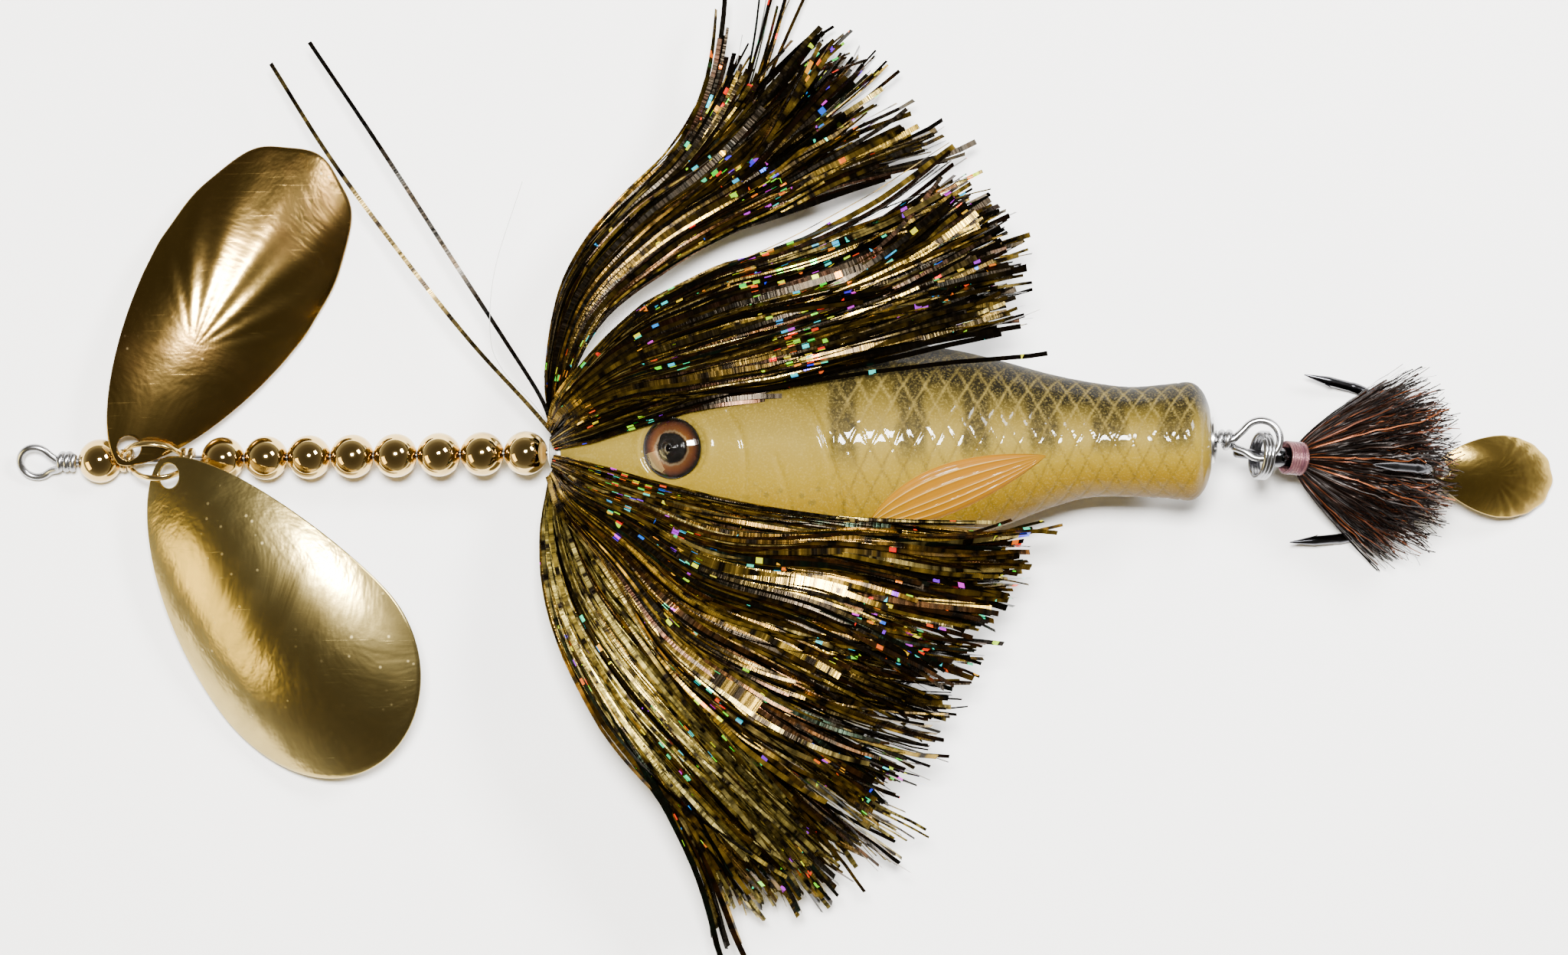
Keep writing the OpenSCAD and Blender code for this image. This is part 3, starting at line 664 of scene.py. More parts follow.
def blade(name, size, w, edge, hole_r, cross_r, long_r, thick, place, mat, body, node_name, flutes=None,
          rings=84, count=300):
    """A cupped plate with a hole near its narrow end. size is the length before and behind its widest place and
    the power of its round end, w the half width, edge the hole's distance from the narrow end; cross_r and
    long_r are the radii of the cup."""
    rim = superellipse(size, w, edge)
    rim = even(np.concatenate([rim, rim[:1]]), count + 1)[:-1]
    theta = np.arctan2(rim[:, 1], rim[:, 0])
    hole = (hole_r + thick / 4) * np.stack([np.cos(theta), np.sin(theta)], -1)
    s = np.linspace(0, 1, rings) ** 1.15
    if flutes:
        focus, waves, scallop = flutes["focus"], flutes["waves"], flutes["scallop"]
        phi = np.arctan2(rim[:, 1], rim[:, 0] - focus)
        reach = np.clip((rim[:, 0] - focus) / (size[0] + size[1] - edge - focus), 0, 1)
        rim = rim * (1 - scallop * (1 - np.cos(waves * phi)) * reach)[:, None]
    across = rim - hole
    rim = rim - across / np.linalg.norm(across, axis=1)[:, None] * thick / 2
    xy = hole[None] * (1 - s)[:, None, None] + rim[None] * s[:, None, None]
    x, y = xy[..., 0], xy[..., 1]
    crest = (size[0] + size[1]) / 2 - edge
    drop = crest * crest / (2 * long_r)
    r = cross_r - thick / 2
    swept = long_r - cross_r + np.sqrt(r * r - y * y)
    z = np.sqrt(swept ** 2 - (x - crest) ** 2) - long_r + thick / 2 + drop
    if flutes:
        phi = np.arctan2(y, x - focus)
        far = np.hypot(x - focus, y)
        # the flutes grow from their focus and fade towards the sides and the rim
        swell = np.clip(far / 22, 0, 1) ** 0.7 * np.clip((flutes["spread"] - np.abs(phi)) / 0.3, 0, 1)
        swell = swell * np.clip((flutes["end"] - far) / 6, 0.35, 1) * np.clip(far / 1.5, 0, 1)
        z = z + flutes["depth"] * swell * np.cos(waves * phi)
    mid = np.stack([x, y, z], -1)
    du = np.gradient(mid, axis=0)
    dv = (np.roll(mid, -1, axis=1) - np.roll(mid, 1, axis=1)) / 2
    normal = np.cross(du, dv)
    normal /= np.linalg.norm(normal, axis=-1)[..., None] + 1e-12
    normal *= np.sign(normal[..., 2:3])
    top = mid + normal * thick / 2
    low = mid - normal * thick / 2
    # rounded rims: three rings round the outer edge and three round the hole
    out_dir = mid[-1] - mid[-2]
    out_dir /= np.linalg.norm(out_dir, axis=-1)[:, None]
    in_dir = mid[0] - mid[1]
    in_dir /= np.linalg.norm(in_dir, axis=-1)[:, None]

    def rim_ring(row, outward, share, deg):
        c, sn = math.cos(math.radians(deg)), math.sin(math.radians(deg))
        return (mid[row] + normal[row] * thick / 2 * c + outward * thick / share * sn)[None]
    pts = np.concatenate([top] + [rim_ring(-1, out_dir, 2, deg) for deg in (45, 90, 135)]
                         + [low[::-1]] + [rim_ring(0, in_dir, 4, deg) for deg in (135, 90, 45)])
    uv = np.stack([pts[..., 0], pts[..., 1]], -1).reshape(-1, 2) / 20
    quads = grid(len(pts), count, wrap_n=True, wrap_m=True)[:, ::-1]
    return make(name, pts.reshape(-1, 3) @ place[0].T + place[1], quads, mat, body, [node_name], uv)


def hang(x, stand, where, lie):
    """Turn and place of a blade that hangs on a clevis at an angle along its bow."""
    h, s = math.radians(where), math.radians(stand)
    at = np.array([x + BOW_R * math.cos(h), BOW_R * math.sin(h) * math.cos(s), BOW_R * math.sin(h) * math.sin(s)])
    m = turn("y", math.degrees(TILT)) @ turn("z", lie[2]) @ turn("y", lie[1]) @ turn("x", lie[0])
    return m, at


blade("blade_fluted_plate", (39.6, 28.1, 2.3), 15.8, 3.6, 2.15, 30, 150, BLADE_T,
      hang(*CLEVIS_FRONT, 131.2, (7.4, 3.8, 56.4)), FLUTED_GOLD, "blade_fluted", "blade_fluted",
      {"focus": 21.0, "waves": 22.0, "scallop": 0.007, "depth": 0.075, "spread": 1.05, "end": 46})
blade("blade_plain_plate", (45.6, 23, 2), 20.5, 3.6, 2.15, 36, 95, BLADE_T,
      hang(*CLEVIS_REAR, 66, (18, -1.5, -54.5)), PLAIN_GOLD, "blade_plain", "blade_plain")

# ---------------------------------------------------------------- chain of rings and hooks at the tail and the belly
RING_R = 3.95
RING_LEAN = 22
LEAN = math.radians(RING_LEAN)
RING_AT = np.array([0.5, -2.8, -0.9])
HOOK_AT = RING_AT - RING_R * np.array([math.sin(LEAN), 0, math.cos(LEAN)])
SHANK, BEND_R, HOOK_R = 23, 7.6, 0.95
TAIL_TURN = turn("z", -6)
TAIL = (TAIL_TURN @ turn("y", 29.1), TAIL_TURN @ HOOK_AT + [LOOP_X, 0, 0])
BELLY_TURN = turn("z", -35)
HANGER_AT = np.array([134, -28.7, 0])
BELLY = (BELLY_TURN @ turn("y", 5.7), BELLY_TURN @ HOOK_AT + HANGER_AT)
LINK_AT = np.array([SHANK + BEND_R + 1.2, 0, HOOK_R + BEND_R])
blade("tail_blade_plate", (15, 11, 2.1), 7.5, 1.9, 1.25, 14, 40, 0.5,
      (TAIL[0], TAIL[0] @ (LINK_AT + [2.8, 0, 0]) + TAIL[1]), TAIL_GOLD, "tail_blade", "tail_blade",
      {"focus": 9.5, "waves": 22.0, "scallop": 0.006, "depth": 0.12, "spread": 1.2, "end": 20}, 50, 220)


def treble(name, place, body, node_name):
    """Three hooks with round bends and cut barbs, soldered into one shank with an eye."""
    parts = []
    a = np.radians(np.linspace(0, 360, 60, endpoint=False))
    parts.append(tube_ring(np.stack([2.85 * np.cos(a), np.zeros(60), 2.85 * np.sin(a)], -1), HOOK_R * 0.98, 16))
    core = [(3.0, 0.4), (3.1, 1.2), (3.5, 1.66), (5, 1.74), (18, 1.74), (20.5, 1.5), (22.4, 0.6), (22.6, 0.2)]
    pts, quads, _, uv = revolve(core, 40, False)
    # the caps of a turned core face the other way round from those of a tube
    caps = end_caps(len(core), 40)[:, [0, 2, 1]]
    parts.append((np.concatenate([pts, [[2.98, 0, 0], [22.62, 0, 0]]]), quads, caps,
                  np.concatenate([uv, [[0, 0], [1, 0]]])))
    off = HOOK_R * 1.1
    bend = np.radians(np.linspace(-90, 82, 56))
    path = np.concatenate([
        np.stack([np.linspace(5, SHANK - 0.3, 30), np.zeros(30), np.full(30, off)], -1),
        np.stack([SHANK + BEND_R * np.cos(bend), np.zeros(56), off + BEND_R + BEND_R * np.sin(bend)], -1)])
    last = path[-1]
    direction = path[-1] - path[-2]
    direction /= np.linalg.norm(direction)
    beyond = np.linspace(0.3, 9.9, 34)
    radius = np.concatenate([np.full(len(path), HOOK_R),
                             0.93 * HOOK_R * np.clip((10.2 - beyond) / 5.4, 0.07, 1) ** 0.8])
    path = np.concatenate([path, np.stack([last + direction * v for v in beyond])])
    pts, quads, tris, uv = tube(path, radius, 14, dome=False)
    barb_at = last + direction * 5.2
    out = np.cross(direction, [0, 1, 0])
    out *= -np.sign(out[2]) if abs(out[2]) > 0.1 else 1
    barb = np.array([barb_at + out * 0.55 + [0, 0.22, 0], barb_at + out * 0.55 - [0, 0.22, 0],
                     barb_at + direction * 2.2 + out * 0.35, barb_at - direction * 0.9 + out * 1.35])
    for k in range(3):
        m = turn("x", 120 * k)
        parts.append((pts @ m.T, quads, tris, uv))
        parts.append((barb @ m.T, np.zeros((0, 4), int), [[0, 1, 2], [0, 3, 1], [1, 3, 2], [2, 3, 0]], None))
    p, q, t, uv = joined(parts)
    make(name, p @ place[0].T + place[1], q, NICKEL, body, [node_name], uv, t)


def tube_ring(path, radius, sides):
    """A tube along a closed path in a plane square to Y."""
    n = len(path)
    t = np.roll(path, -1, 0) - np.roll(path, 1, 0)
    t /= np.linalg.norm(t, axis=1)[:, None]
    v = np.array([0, 1.0, 0])
    u = np.cross(t, v)
    a = np.linspace(0, 2 * math.pi, sides, endpoint=False)
    pts = path[:, None] + radius * (u[:, None] * np.cos(a)[None, :, None] + v * np.sin(a)[None, :, None])
    return pts.reshape(-1, 3), grid(n, sides, wrap_n=True, wrap_m=True), None, None


treble("rear_treble_forged", TAIL, "rear_treble", "rear_treble")
treble("belly_treble_forged", BELLY, "belly_treble", "belly_treble")


def split_ring(name, place, body, node_name):
    """A coil of nearly three turns of round wire."""
    n = 240
    t = np.linspace(0, 1, n)
    a = 2 * math.pi * 2.86 * t + 0.8
    path = np.stack([(t - 0.5) * 1.9, RING_R * np.cos(a), RING_R * np.sin(a)], -1)
    p, q, tr, uv = tube(path, 0.47, 12)
    base, at = place
    make(name, (p @ turn("y", RING_LEAN).T + RING_AT) @ base.T + at, q, RING, body, [node_name], uv, tr)


split_ring("rear_ring_coil", (TAIL_TURN, np.array([LOOP_X, 0, 0])), "rear_ring", "rear_ring")
split_ring("belly_ring_coil", (BELLY_TURN, HANGER_AT), "belly_ring", "belly_ring")

# ---------------------------------------------------------------- body
# x, half height above and below the shaft, half thickness
STATIONS = np.array([[98, 4.5, 4.5, 4.5], [101, 7.5, 7.5, 6.6], [106, 10.5, 10.8, 8.9], [113, 14, 14.5, 11.1],
                     [122, 17.2, 17.8, 13.2], [134, 19.6, 20.8, 15], [147, 19.9, 21.9, 16.1], [158, 18.9, 20.2, 15.6],
                     [169.5, 17.1, 17.4, 14.1], [178.5, 14.8, 14.4, 12.3], [186, 12.6, 11.6, 10.9],
                     [193, 11, 9.9, 9.9], [200.5, 9.9, 9.9, 9.6], [207, 10.2, 10.3, 10.1],
                     [211.4, 10.5, 10.7, 10.4], [213.6, 9, 9, 9], [214.9, 6, 6, 6], [215.2, 3.2, 3.2, 3.2]])
LINE = [even(smooth_path(STATIONS[:, columns], 600), 600) for columns in ([0, 1, 3], [0, 2, 3])]


def halves(x):
    """Half height above and below and half thickness of the body at x."""
    up, down = LINE
    return [np.interp(x, line[:, 0], line[:, k]) for line, k in ((up, 1), (down, 1), (up, 2))]


def near_line(x, y, line):
    """Distance from points to a smooth line given by a few (x, y) points."""
    pts = smooth_path([(a, b, 0) for a, b in line], 60)[:, :2]
    best = np.full(x.shape, 1e9)
    for k in range(len(pts) - 1):
        a, b = pts[k], pts[k + 1]
        d = b - a
        u = np.clip(((x - a[0]) * d[0] + (y - a[1]) * d[1]) / (d @ d), 0, 1)
        best = np.minimum(best, np.hypot(x - a[0] - u * d[0], y - a[1] - u * d[1]))
    return best


GILLS = [[(129.5, 6.5), (131.8, 2.5), (132.6, -2.5), (132.2, -7.5)],
         [(138.0, -1.5), (139.6, -6.5), (140.8, -12.5)],
         [(138.5, 11.8), (144.5, 6.6), (148, -2), (149.5, -12), (147.5, -17)]]


EYE_AT = np.array([119.7, 0.3, 10.6])
SCALES_X, SCALE_PITCH = 146, 4.1


def body_half(name, side, node_name):
    """A half shell on the upper (side 1) or lower (side -1) side of the middle plane."""
    nx, na = 400, 190
    up, down = LINE
    # more rows where the section changes fast, at the nose and the tail
    row = even(np.concatenate([up, down[:, 1:2]], 1), nx)
    x, hu, th, hd = row[:, 0], row[:, 1], row[:, 2], row[:, 3]
    a = np.linspace(0, math.pi, na)
    ca, sa = np.cos(a)[None], np.sin(a)[None]
    X = np.broadcast_to(x[:, None], (nx, na)).copy()
    high = np.where(ca > 0, hu[:, None], hd[:, None])
    Y = ca * high
    Z = sa * th[:, None]
    nrm = np.stack([np.zeros_like(X), ca / high, sa / np.maximum(th[:, None], 1e-3)], -1)
    nrm /= np.linalg.norm(nrm, axis=-1)[..., None]
    # engraved scales: two sets of slanting grooves behind the gill cover
    steps = np.hypot(np.diff(Y, axis=1), np.diff(Z, axis=1))
    arc = np.cumsum(np.concatenate([np.zeros((nx, 1)), steps], 1), axis=1)
    arc -= arc[:, na // 2][:, None]
    shrink = np.interp(x, [SCALES_X, 190], [1.0, 0.82])[:, None]
    along = np.cumsum(np.gradient(x)[:, None] / shrink, axis=0)
    dip = np.zeros_like(X)
    for sign in (1, -1):
        f = (along + sign * (arc / shrink * 0.5 + 0.09 * np.sin(arc * 1.7 + along * 0.9))) / SCALE_PITCH
        d = np.abs(f - np.round(f)) * SCALE_PITCH
        dip = np.maximum(dip, np.exp(-(d / 0.22) ** 2) * (0.82 + 0.18 * np.sin(arc * 2.1 + sign * along * 1.3)))
    edge = np.interp(arc, [-16, -11, 18, 24], [0.25, 1, 1, 0.4])
    scales = dip * edge * np.clip((X - SCALES_X) / 6, 0, 1) * np.clip((213.2 - X) / 1.5, 0, 1)
    cut = 0.15 * scales
    for k, line in enumerate(GILLS):
        d = near_line(X, Y, line)
        cut = cut + (0.28, 0.2, 0.42)[k] * np.exp(-(d / 0.45) ** 2)
    # the gill cover stands a little proud of the flank in front of its rear edge
    d = near_line(X, Y, GILLS[2])
    cut = cut - 0.25 * np.exp(-((d - 1.2) / 1.6) ** 2) * (X < 149)
    # a socket for the eye and a fine seam on the middle plane
    r = np.hypot(X - EYE_AT[0] + 0.2, Y - EYE_AT[1])
    cut = cut + 0.35 * np.exp(-((r - 5.75) / 0.35) ** 2) - 0.22 * np.exp(-((r - 6.7) / 0.7) ** 2)
    cut = np.where(r < 5.3, cut + 1.6, cut)
    cut = cut + 0.12 * np.exp(-(np.minimum(a, math.pi - a)[None] * 12 / 0.25) ** 2)
    # ring grooves on the tail's flare
    cut = cut + 0.1 * np.exp(-((X - 209.5) / 0.3) ** 2)
    pts = np.stack([X, Y, Z], -1) - nrm * cut[..., None]
    pts[..., 2] = np.maximum(pts[..., 2], 0)
    pts[..., 2] *= side
    quads = grid(nx, na)
    if side > 0:
        quads = quads[:, ::-1]
    uv = np.stack([np.clip(scales, 0, 1), arc / 100], -1)
    return make(name, pts, quads, BODY_PAINT, "body", [node_name], uv.reshape(-1, 2))


body_half("body_shell_up", 1, "body_left")
body_half("body_shell_down", -1, "body_right")


def discs(radius, height, angle):
    """Rings of points about Z. radius has a row for each ring."""
    return np.stack([radius * np.cos(angle), radius * np.sin(angle),
                     np.broadcast_to(np.asarray(height)[:, None], (len(height), len(angle)))], -1)


IRIS_R, DOME_R, DOME_H = 5.42, 5.48, 1.3


def eye(name, side, node_name):
    """A painted iris and a pupil under a clear dome."""
    def add(part, points, quads, mat, uv=None):
        p = (points.reshape(-1, 3) @ turn("y", -12).T + EYE_AT) * [1, 1, side]
        make(name + part, p, quads if side > 0 else quads[:, ::-1], mat, "body", [node_name], uv)
    n, m = 30, 96
    r = np.linspace(0.02, IRIS_R, n)
    a = np.linspace(0, 2 * math.pi, m, endpoint=False)
    height = 2.05 - 0.35 * np.exp(-((r - 2.2) / 0.9) ** 2) + 0.12 * np.clip((r - 4.9) / 0.4, 0, 1)
    uv = np.stack(np.broadcast_arrays((a / (2 * math.pi))[None, :], (r / IRIS_R)[:, None]), -1)
    add("_iris", discs(r[:, None], height, a), grid(n, m, wrap_m=True), IRIS, uv.reshape(-1, 2))
    # the pupil, round with a small point on one side
    b = np.linspace(0, 2 * math.pi, 80, endpoint=False)
    from_point = np.mod(b - math.radians(125) + math.pi, 2 * math.pi) - math.pi
    pupil_r = 2.5 * (1 + 0.2 * np.exp(-(from_point / 0.35) ** 2))
    share = np.array([1, 0.97, 0.6, 0.02])[:, None]
    add("_pupil", discs(pupil_r * share, [1.95, 2.02, 2.06, 2.07], b), grid(4, 80, wrap_m=True), PUPIL)
    dr = (DOME_R ** 2 + DOME_H ** 2) / (2 * DOME_H)
    t = np.linspace(0.002, math.asin(5.46 / dr), 26)
    outer = [(dr * math.sin(v), 2.0 + DOME_H - dr + dr * math.cos(v)) for v in t]
    profile = outer + [(5.46, 1.95), (5.3, 1.9), (5.0, 2.22), (3.0, 2.24), (0.05, 2.26)]
    radius = np.array([q[0] for q in profile])[:, None]
    height = [max(q[1], 2.12) if q[0] < 5.2 else q[1] for q in profile]
    add("_dome", discs(radius, height, a), grid(len(profile), m, wrap_n=True, wrap_m=True), DOME)


eye("eye_up", 1, "eye_left")
eye("eye_down", -1, "eye_right")


def fin(name, side, node_name):
    """A long leaf on the flank with rays that spread from its front end."""
    n, m = 120, 46
    s = np.linspace(0, 1, n)[:, None]
    w = np.linspace(-1, 1, m)[None]
    top = 5.3 * np.sin(math.pi * s ** 0.85) ** 0.85
    low = 3.5 * np.sin(math.pi * s ** 0.8) ** 0.8
    lx = -17 + 34 * s + 0 * w  # 34 mm long
    ly = np.where(w > 0, top * w, low * w)
    ang = math.radians(20.5)
    x = 170 + lx * math.cos(ang) - ly * math.sin(ang)
    y = -8.2 + lx * math.sin(ang) + ly * math.cos(ang)
    hu, hd, th = halves(x)
    high = np.where(y > 0, hu, hd)
    surf = th * np.sqrt(np.clip(1 - (y / high) ** 2, 0.02, 1))
    edge = np.minimum(1, (1 - np.abs(w)) * 6) ** 0.5 * np.minimum(1, np.minimum(s, 1 - s) * 25) ** 0.5
    ray = 0.22 * np.exp(-((np.abs(((w * 3 + 3.5) % 1) - 0.5)) / 0.12) ** 2) * np.clip((0.97 - s) / 0.2, 0, 1)
    lift = -0.25 + (0.75 + ray + 0.027 * np.sin(s * 60)) * edge
    z = surf + lift
    p = np.stack([x, y, z * side], -1)
    back = np.stack([x, y, (surf - 0.5) * side], -1)
    quads = np.concatenate([grid(n, m), grid(n, m, start=n * m)[:, ::-1]])
    idx = np.arange(n * m).reshape(n, m)
    loop = np.concatenate([idx[0], idx[1:, -1], idx[-1, ::-1][1:], idx[::-1, 0][1:-1]])
    nxt = np.roll(loop, -1)
    quads = np.concatenate([quads, np.stack([loop, loop + n * m, nxt + n * m, nxt], -1)])
    uv = np.stack(np.broadcast_arrays(s, w), -1).reshape(-1, 2)
    if side > 0:
        quads = quads[:, ::-1]
    make(name, np.concatenate([p.reshape(-1, 3), back.reshape(-1, 3)]), quads[:, ::-1], FIN_PAINT, "body",
         [node_name], np.concatenate([uv, uv]))


fin("fin_up", 1, "fin_left")
fin("fin_down", -1, "fin_right")


# ---------------------------------------------------------------- skirt
def clear_of_body(p, gap):
    """Points pushed out of the body and up from the table."""
    p = p.copy()
    x = p[..., 0]
    hu, hd, th = halves(x)
    inside = (x > 98) & (x < 215)
    high = np.where(p[..., 1] > 0, hu, hd) + gap
    thick = th + gap
    r = np.sqrt((p[..., 1] / high) ** 2 + (p[..., 2] / thick) ** 2)
    k = np.where(inside & (r < 1), 1 / np.maximum(r, 0.05), 1)
    p[..., 1] *= k
    p[..., 2] *= k
    p[..., 2] = np.maximum(p[..., 2], floor_at(x) + 0.25)
    return p


def ribbons(paths, width, twist):
    """Flat strands. paths is strands by steps by 3; twist is the angle of each strand's face at each step."""
    n, m, _ = paths.shape
    t = np.gradient(paths, axis=1)
    t /= np.linalg.norm(t, axis=-1)[..., None] + 1e-9
    up = np.array([0, 0, 1.0])
    side = np.cross(t, up)
    side /= np.linalg.norm(side, axis=-1)[..., None] + 1e-9
    nrm = np.cross(side, t)
    v = side * np.cos(twist)[..., None] + nrm * np.sin(twist)[..., None]
    w = np.broadcast_to(np.asarray(width), (n,))[:, None, None] / 2
    pts = np.stack([paths - v * w, paths + v * w], 2)
    steps = np.linalg.norm(np.diff(paths, axis=1), axis=-1)
    length = np.concatenate([np.zeros((n, 1)), np.cumsum(steps, axis=1)], 1)
    first = np.broadcast_to(np.arange(n)[:, None], (n, m))
    uv = np.stack([np.stack([first + 0.1, length], -1), np.stack([first + 0.9, length], -1)], 2)
    base = (np.arange(n) * m * 2)[:, None] + (np.arange(m - 1) * 2)[None]
    base = base.ravel()
    quads = np.stack([base, base + 1, base + 3, base + 2], -1)
    return pts.reshape(-1, 3), quads, None, uv.reshape(-1, 2)


def fan(rng, path, wide, thick, count, reach=(0.70, 1.05), curl=4.6, wave=0.8, face=1.0, lock=11):
    """Paths of strands that fill a bundle in locks of a few strands each, and the turn of each strand's face.

    wide and thick are the bundle's half sizes at the path's points, reach is where along it the strands end,
    curl and wave bend them, face turns them about themselves and lock is the number of strands in a lock."""
    steps = 30
    p = smooth_path(path, 160)
    s = np.concatenate([[0], np.cumsum(np.linalg.norm(np.diff(p, axis=0), axis=1))])
    s /= s[-1]
    knots = np.linspace(0, 1, len(path))
    chord = p[-1] - p[0]
    side = np.array([-chord[1], chord[0], 0]) / np.hypot(chord[0], chord[1])
    locks = max(1, count // lock)
    which = rng.integers(0, locks, count)

    def both(of_lock, of_strand):
        return of_lock[which] + of_strand
    ends = both(rng.uniform(*reach, locks), rng.normal(0, 0.025, count))
    t = np.linspace(0, 1, steps)[None] * ends[:, None]
    tc = np.clip(t, 0, 1)
    base = np.stack([np.interp(tc, s, p[:, k]) for k in range(3)], -1)
    step = (p[-1] - p[-6]) / (s[-1] - s[-6])
    base = base + np.clip(t - 1, 0, None)[..., None] * step
    a = np.clip(both(rng.uniform(-0.97, 0.97, locks), rng.normal(0, 0.05, count)), -1, 1)
    b = both(rng.uniform(-0.9, 0.9, locks), rng.normal(0, 0.12, count)) * np.sqrt(np.clip(1 - a * a * 0.8, 0, 1))
    a2 = np.clip(both(rng.normal(0, 0.09, locks), a + rng.normal(0, 0.035, count)), -1.06, 1.06)
    a3 = a2 + rng.normal(0, 0.06, count)
    am = a[:, None] * (1 - tc) + (a2[:, None] * (1 - tc) + a3[:, None] * tc) * tc
    w = np.interp(tc, knots, wide)
    h = np.interp(tc, knots, thick)
    out = base + side * (am * w)[..., None] + np.array([0, 0, 1.0]) * (b[:, None] * h * 1.15)[..., None]
    ph = both(rng.uniform(0, 2 * math.pi, locks), rng.normal(0, 0.35, count))
    ph2 = both(rng.uniform(0, 2 * math.pi, locks), rng.normal(0, 0.35, count))
    fr = both(rng.uniform(0.8, 2.4, locks), rng.normal(0, 0.15, count))
    grow = t ** 1.3
    out = out + side * (1.6 * wave * grow * np.sin(ph[:, None] + fr[:, None] * t * math.pi))[..., None]
    out[..., 2] += 1.2 * wave * grow * np.sin(ph2[:, None] + fr[:, None] * t * math.pi)
    # the outer halves curl
    outer = np.clip(t - 0.5, 0, 1) ** 2
    bend = both(rng.normal(0, curl, locks), rng.normal(0, curl * 0.35, count))
    out = out + side * (bend[:, None] * outer * 4)[..., None]
    rise = both(rng.normal(0, curl * 0.3, locks), rng.normal(0, curl * 0.2, count))
    out[..., 2] += rise[:, None] * outer * 4
    # a few strands leave their lock
    loose = (rng.uniform(0, 1, count) < 0.1) * rng.normal(0, 1, count)
    out = out + side * (loose[:, None] * 5 * np.clip(t - 0.25, 0, 1) ** 1.5)[..., None]
    out = clear_of_body(out, 0.35)
    twist = (both(rng.normal(0, 0.25 * face, locks), rng.normal(0, 0.3 * face, count)) + a * 0.5 * face)[:, None]
    twist = twist + both(rng.normal(0, 0.5 * face, locks), rng.normal(0, 0.9 * face, count))[:, None] * t ** 1.5
    return out, twist


UF = ([[96.4, 4.9, 1], [97.5, 14, 4], [103, 28, 5], [115, 40, 4], [131, 51, 0], [151, 68, -8]],
      [0.9, 3.8, 6.8, 9, 13, 18], [0.8, 1.5, 2, 2.4, 2.6, 2.6])
UR = ([[96.6, 3.4, 3.7], [101, 8.5, 11], [112, 15, 14], [128, 20, 15.5], [145, 24.5, 15.5], [160, 29.5, 12.5],
       [176, 36, 7]],
      [0.8, 4.2, 9, 11, 10.5, 10.5, 11.5], [0.7, 1, 1.3, 1.8, 2.2, 2.4, 2.4])
LF = ([[96.4, -4.9, 1], [97.5, -14, 6], [102, -27, 10], [111, -41, 12], [123, -56, 10], [134, -69, 4],
       [142, -79, -3]],
      [0.9, 4.5, 7, 9, 10, 11, 12.5], [0.8, 1.5, 2, 2.4, 2.6, 2.6, 2.6])
LR = ([[96.6, -3.4, 3.7], [101, -8.5, 11], [111, -15.5, 15], [124, -26, 17.5], [142, -33, 18], [156, -38.5, 15],
       [168, -42.5, 8]],
      [0.8, 4.5, 9, 14, 19, 22, 25], [0.7, 1, 1.3, 1.8, 2.2, 2.4, 2.4])


def skirt(name, seed, bundle, count, mat, nodes, slot, width=(0.55, 1.2), **kw):
    rng = np.random.default_rng(seed)
    paths, twist = fan(rng, *bundle, count, **kw)
    p, q, _, uv = ribbons(paths, rng.uniform(*width, count), twist)
    return make(name, p, q, mat, "body", nodes, uv)


skirt("skirt_upper_front_strands", 11, UF, 560, FLASH_DARK, ["skirt_upper_front"], "flash_dark")
skirt("skirt_upper_rear_strands", 12, UR, 640, FLASH_DARK, ["skirt_upper_rear"], "flash_dark")
skirt("skirt_lower_front_strands", 13, LF, 300, FLASH_GOLD, ["skirt_lower_front"], "flash_gold")
skirt("skirt_lower_rear_strands", 14, LR, 860, FLASH_GOLD, ["skirt_lower_rear"], "flash_gold")
THIN = (0.3, 0.7)
skirt("skirt_upper_thin", 17, UR, 260, FLASH_GOLD, [], "flash_gold", THIN)
skirt("skirt_upper_front_thin", 18, UF, 260, FLASH_GOLD, [], "flash_gold", THIN)
skirt("skirt_lower_thin", 19, LR, 420, FLASH_DARK, [], "flash_dark", THIN)
skirt("skirt_lower_front_straw", 20, LF, 420, FLASH_STRAW, [], "flash_gold", (0.45, 0.9))
INNER_UP = ([[96.6, 1.6, 4.4], [101, 3.6, 9], [108, 6.2, 12], [116, 8.8, 13.6], [128, 12.8, 14.4], [142, 16.5, 13]],
            [0.8, 2.9, 3.2, 3.4, 3.6, 4.5], [0.5, 0.5, 0.5, 0.6, 0.8, 1])
INNER_DOWN = ([[96.6, -1.6, 4.4], [101, -3.4, 9], [108, -6.2, 12], [118, -9.4, 14], [132, -13, 15],
               [150, -16, 14.5], [174, -20, 9]],
              [0.8, 2.7, 3, 3, 3, 3.5, 4.5], [0.5, 0.5, 0.5, 0.6, 0.8, 1, 1.2])
CALM = {"curl": 0.8, "wave": 0.3, "lock": 6}
skirt("skirt_inner_upper", 23, INNER_UP, 240, FLASH_DARK, [], "flash_dark", **CALM)
skirt("skirt_inner_lower", 24, INNER_DOWN, 260, FLASH_GOLD, [], "flash_gold", **CALM)
FLAT = {"width": (1.5, 2.8), "face": 0.2, "curl": 1.0, "lock": 2}
skirt("skirt_wide_strips_upper", 15, UR, 26, FILM, [], "flash_gold", reach=(0.5, 0.85), **FLAT)
skirt("skirt_wide_strips_lower", 16, LR, 40, FILM, [], "flash_gold", reach=(0.4, 0.8), **FLAT)


STRAY_STRAND = 3


def stray(name, path, mat_name, colour):
    """One loose flash strand, all of one colour."""
    t = np.linspace(0, 1, 60)
    p, q, _, uv = ribbons(smooth_path(path, 60)[None], [0.8], (0.25 * np.sin(t * 9))[None])
    mat = flash(mat_name, [(0.0, colour), (1.0, colour)], 0.0, 0.25)
    make(name, p, q, mat, "body", [], uv + [STRAY_STRAND, 0])


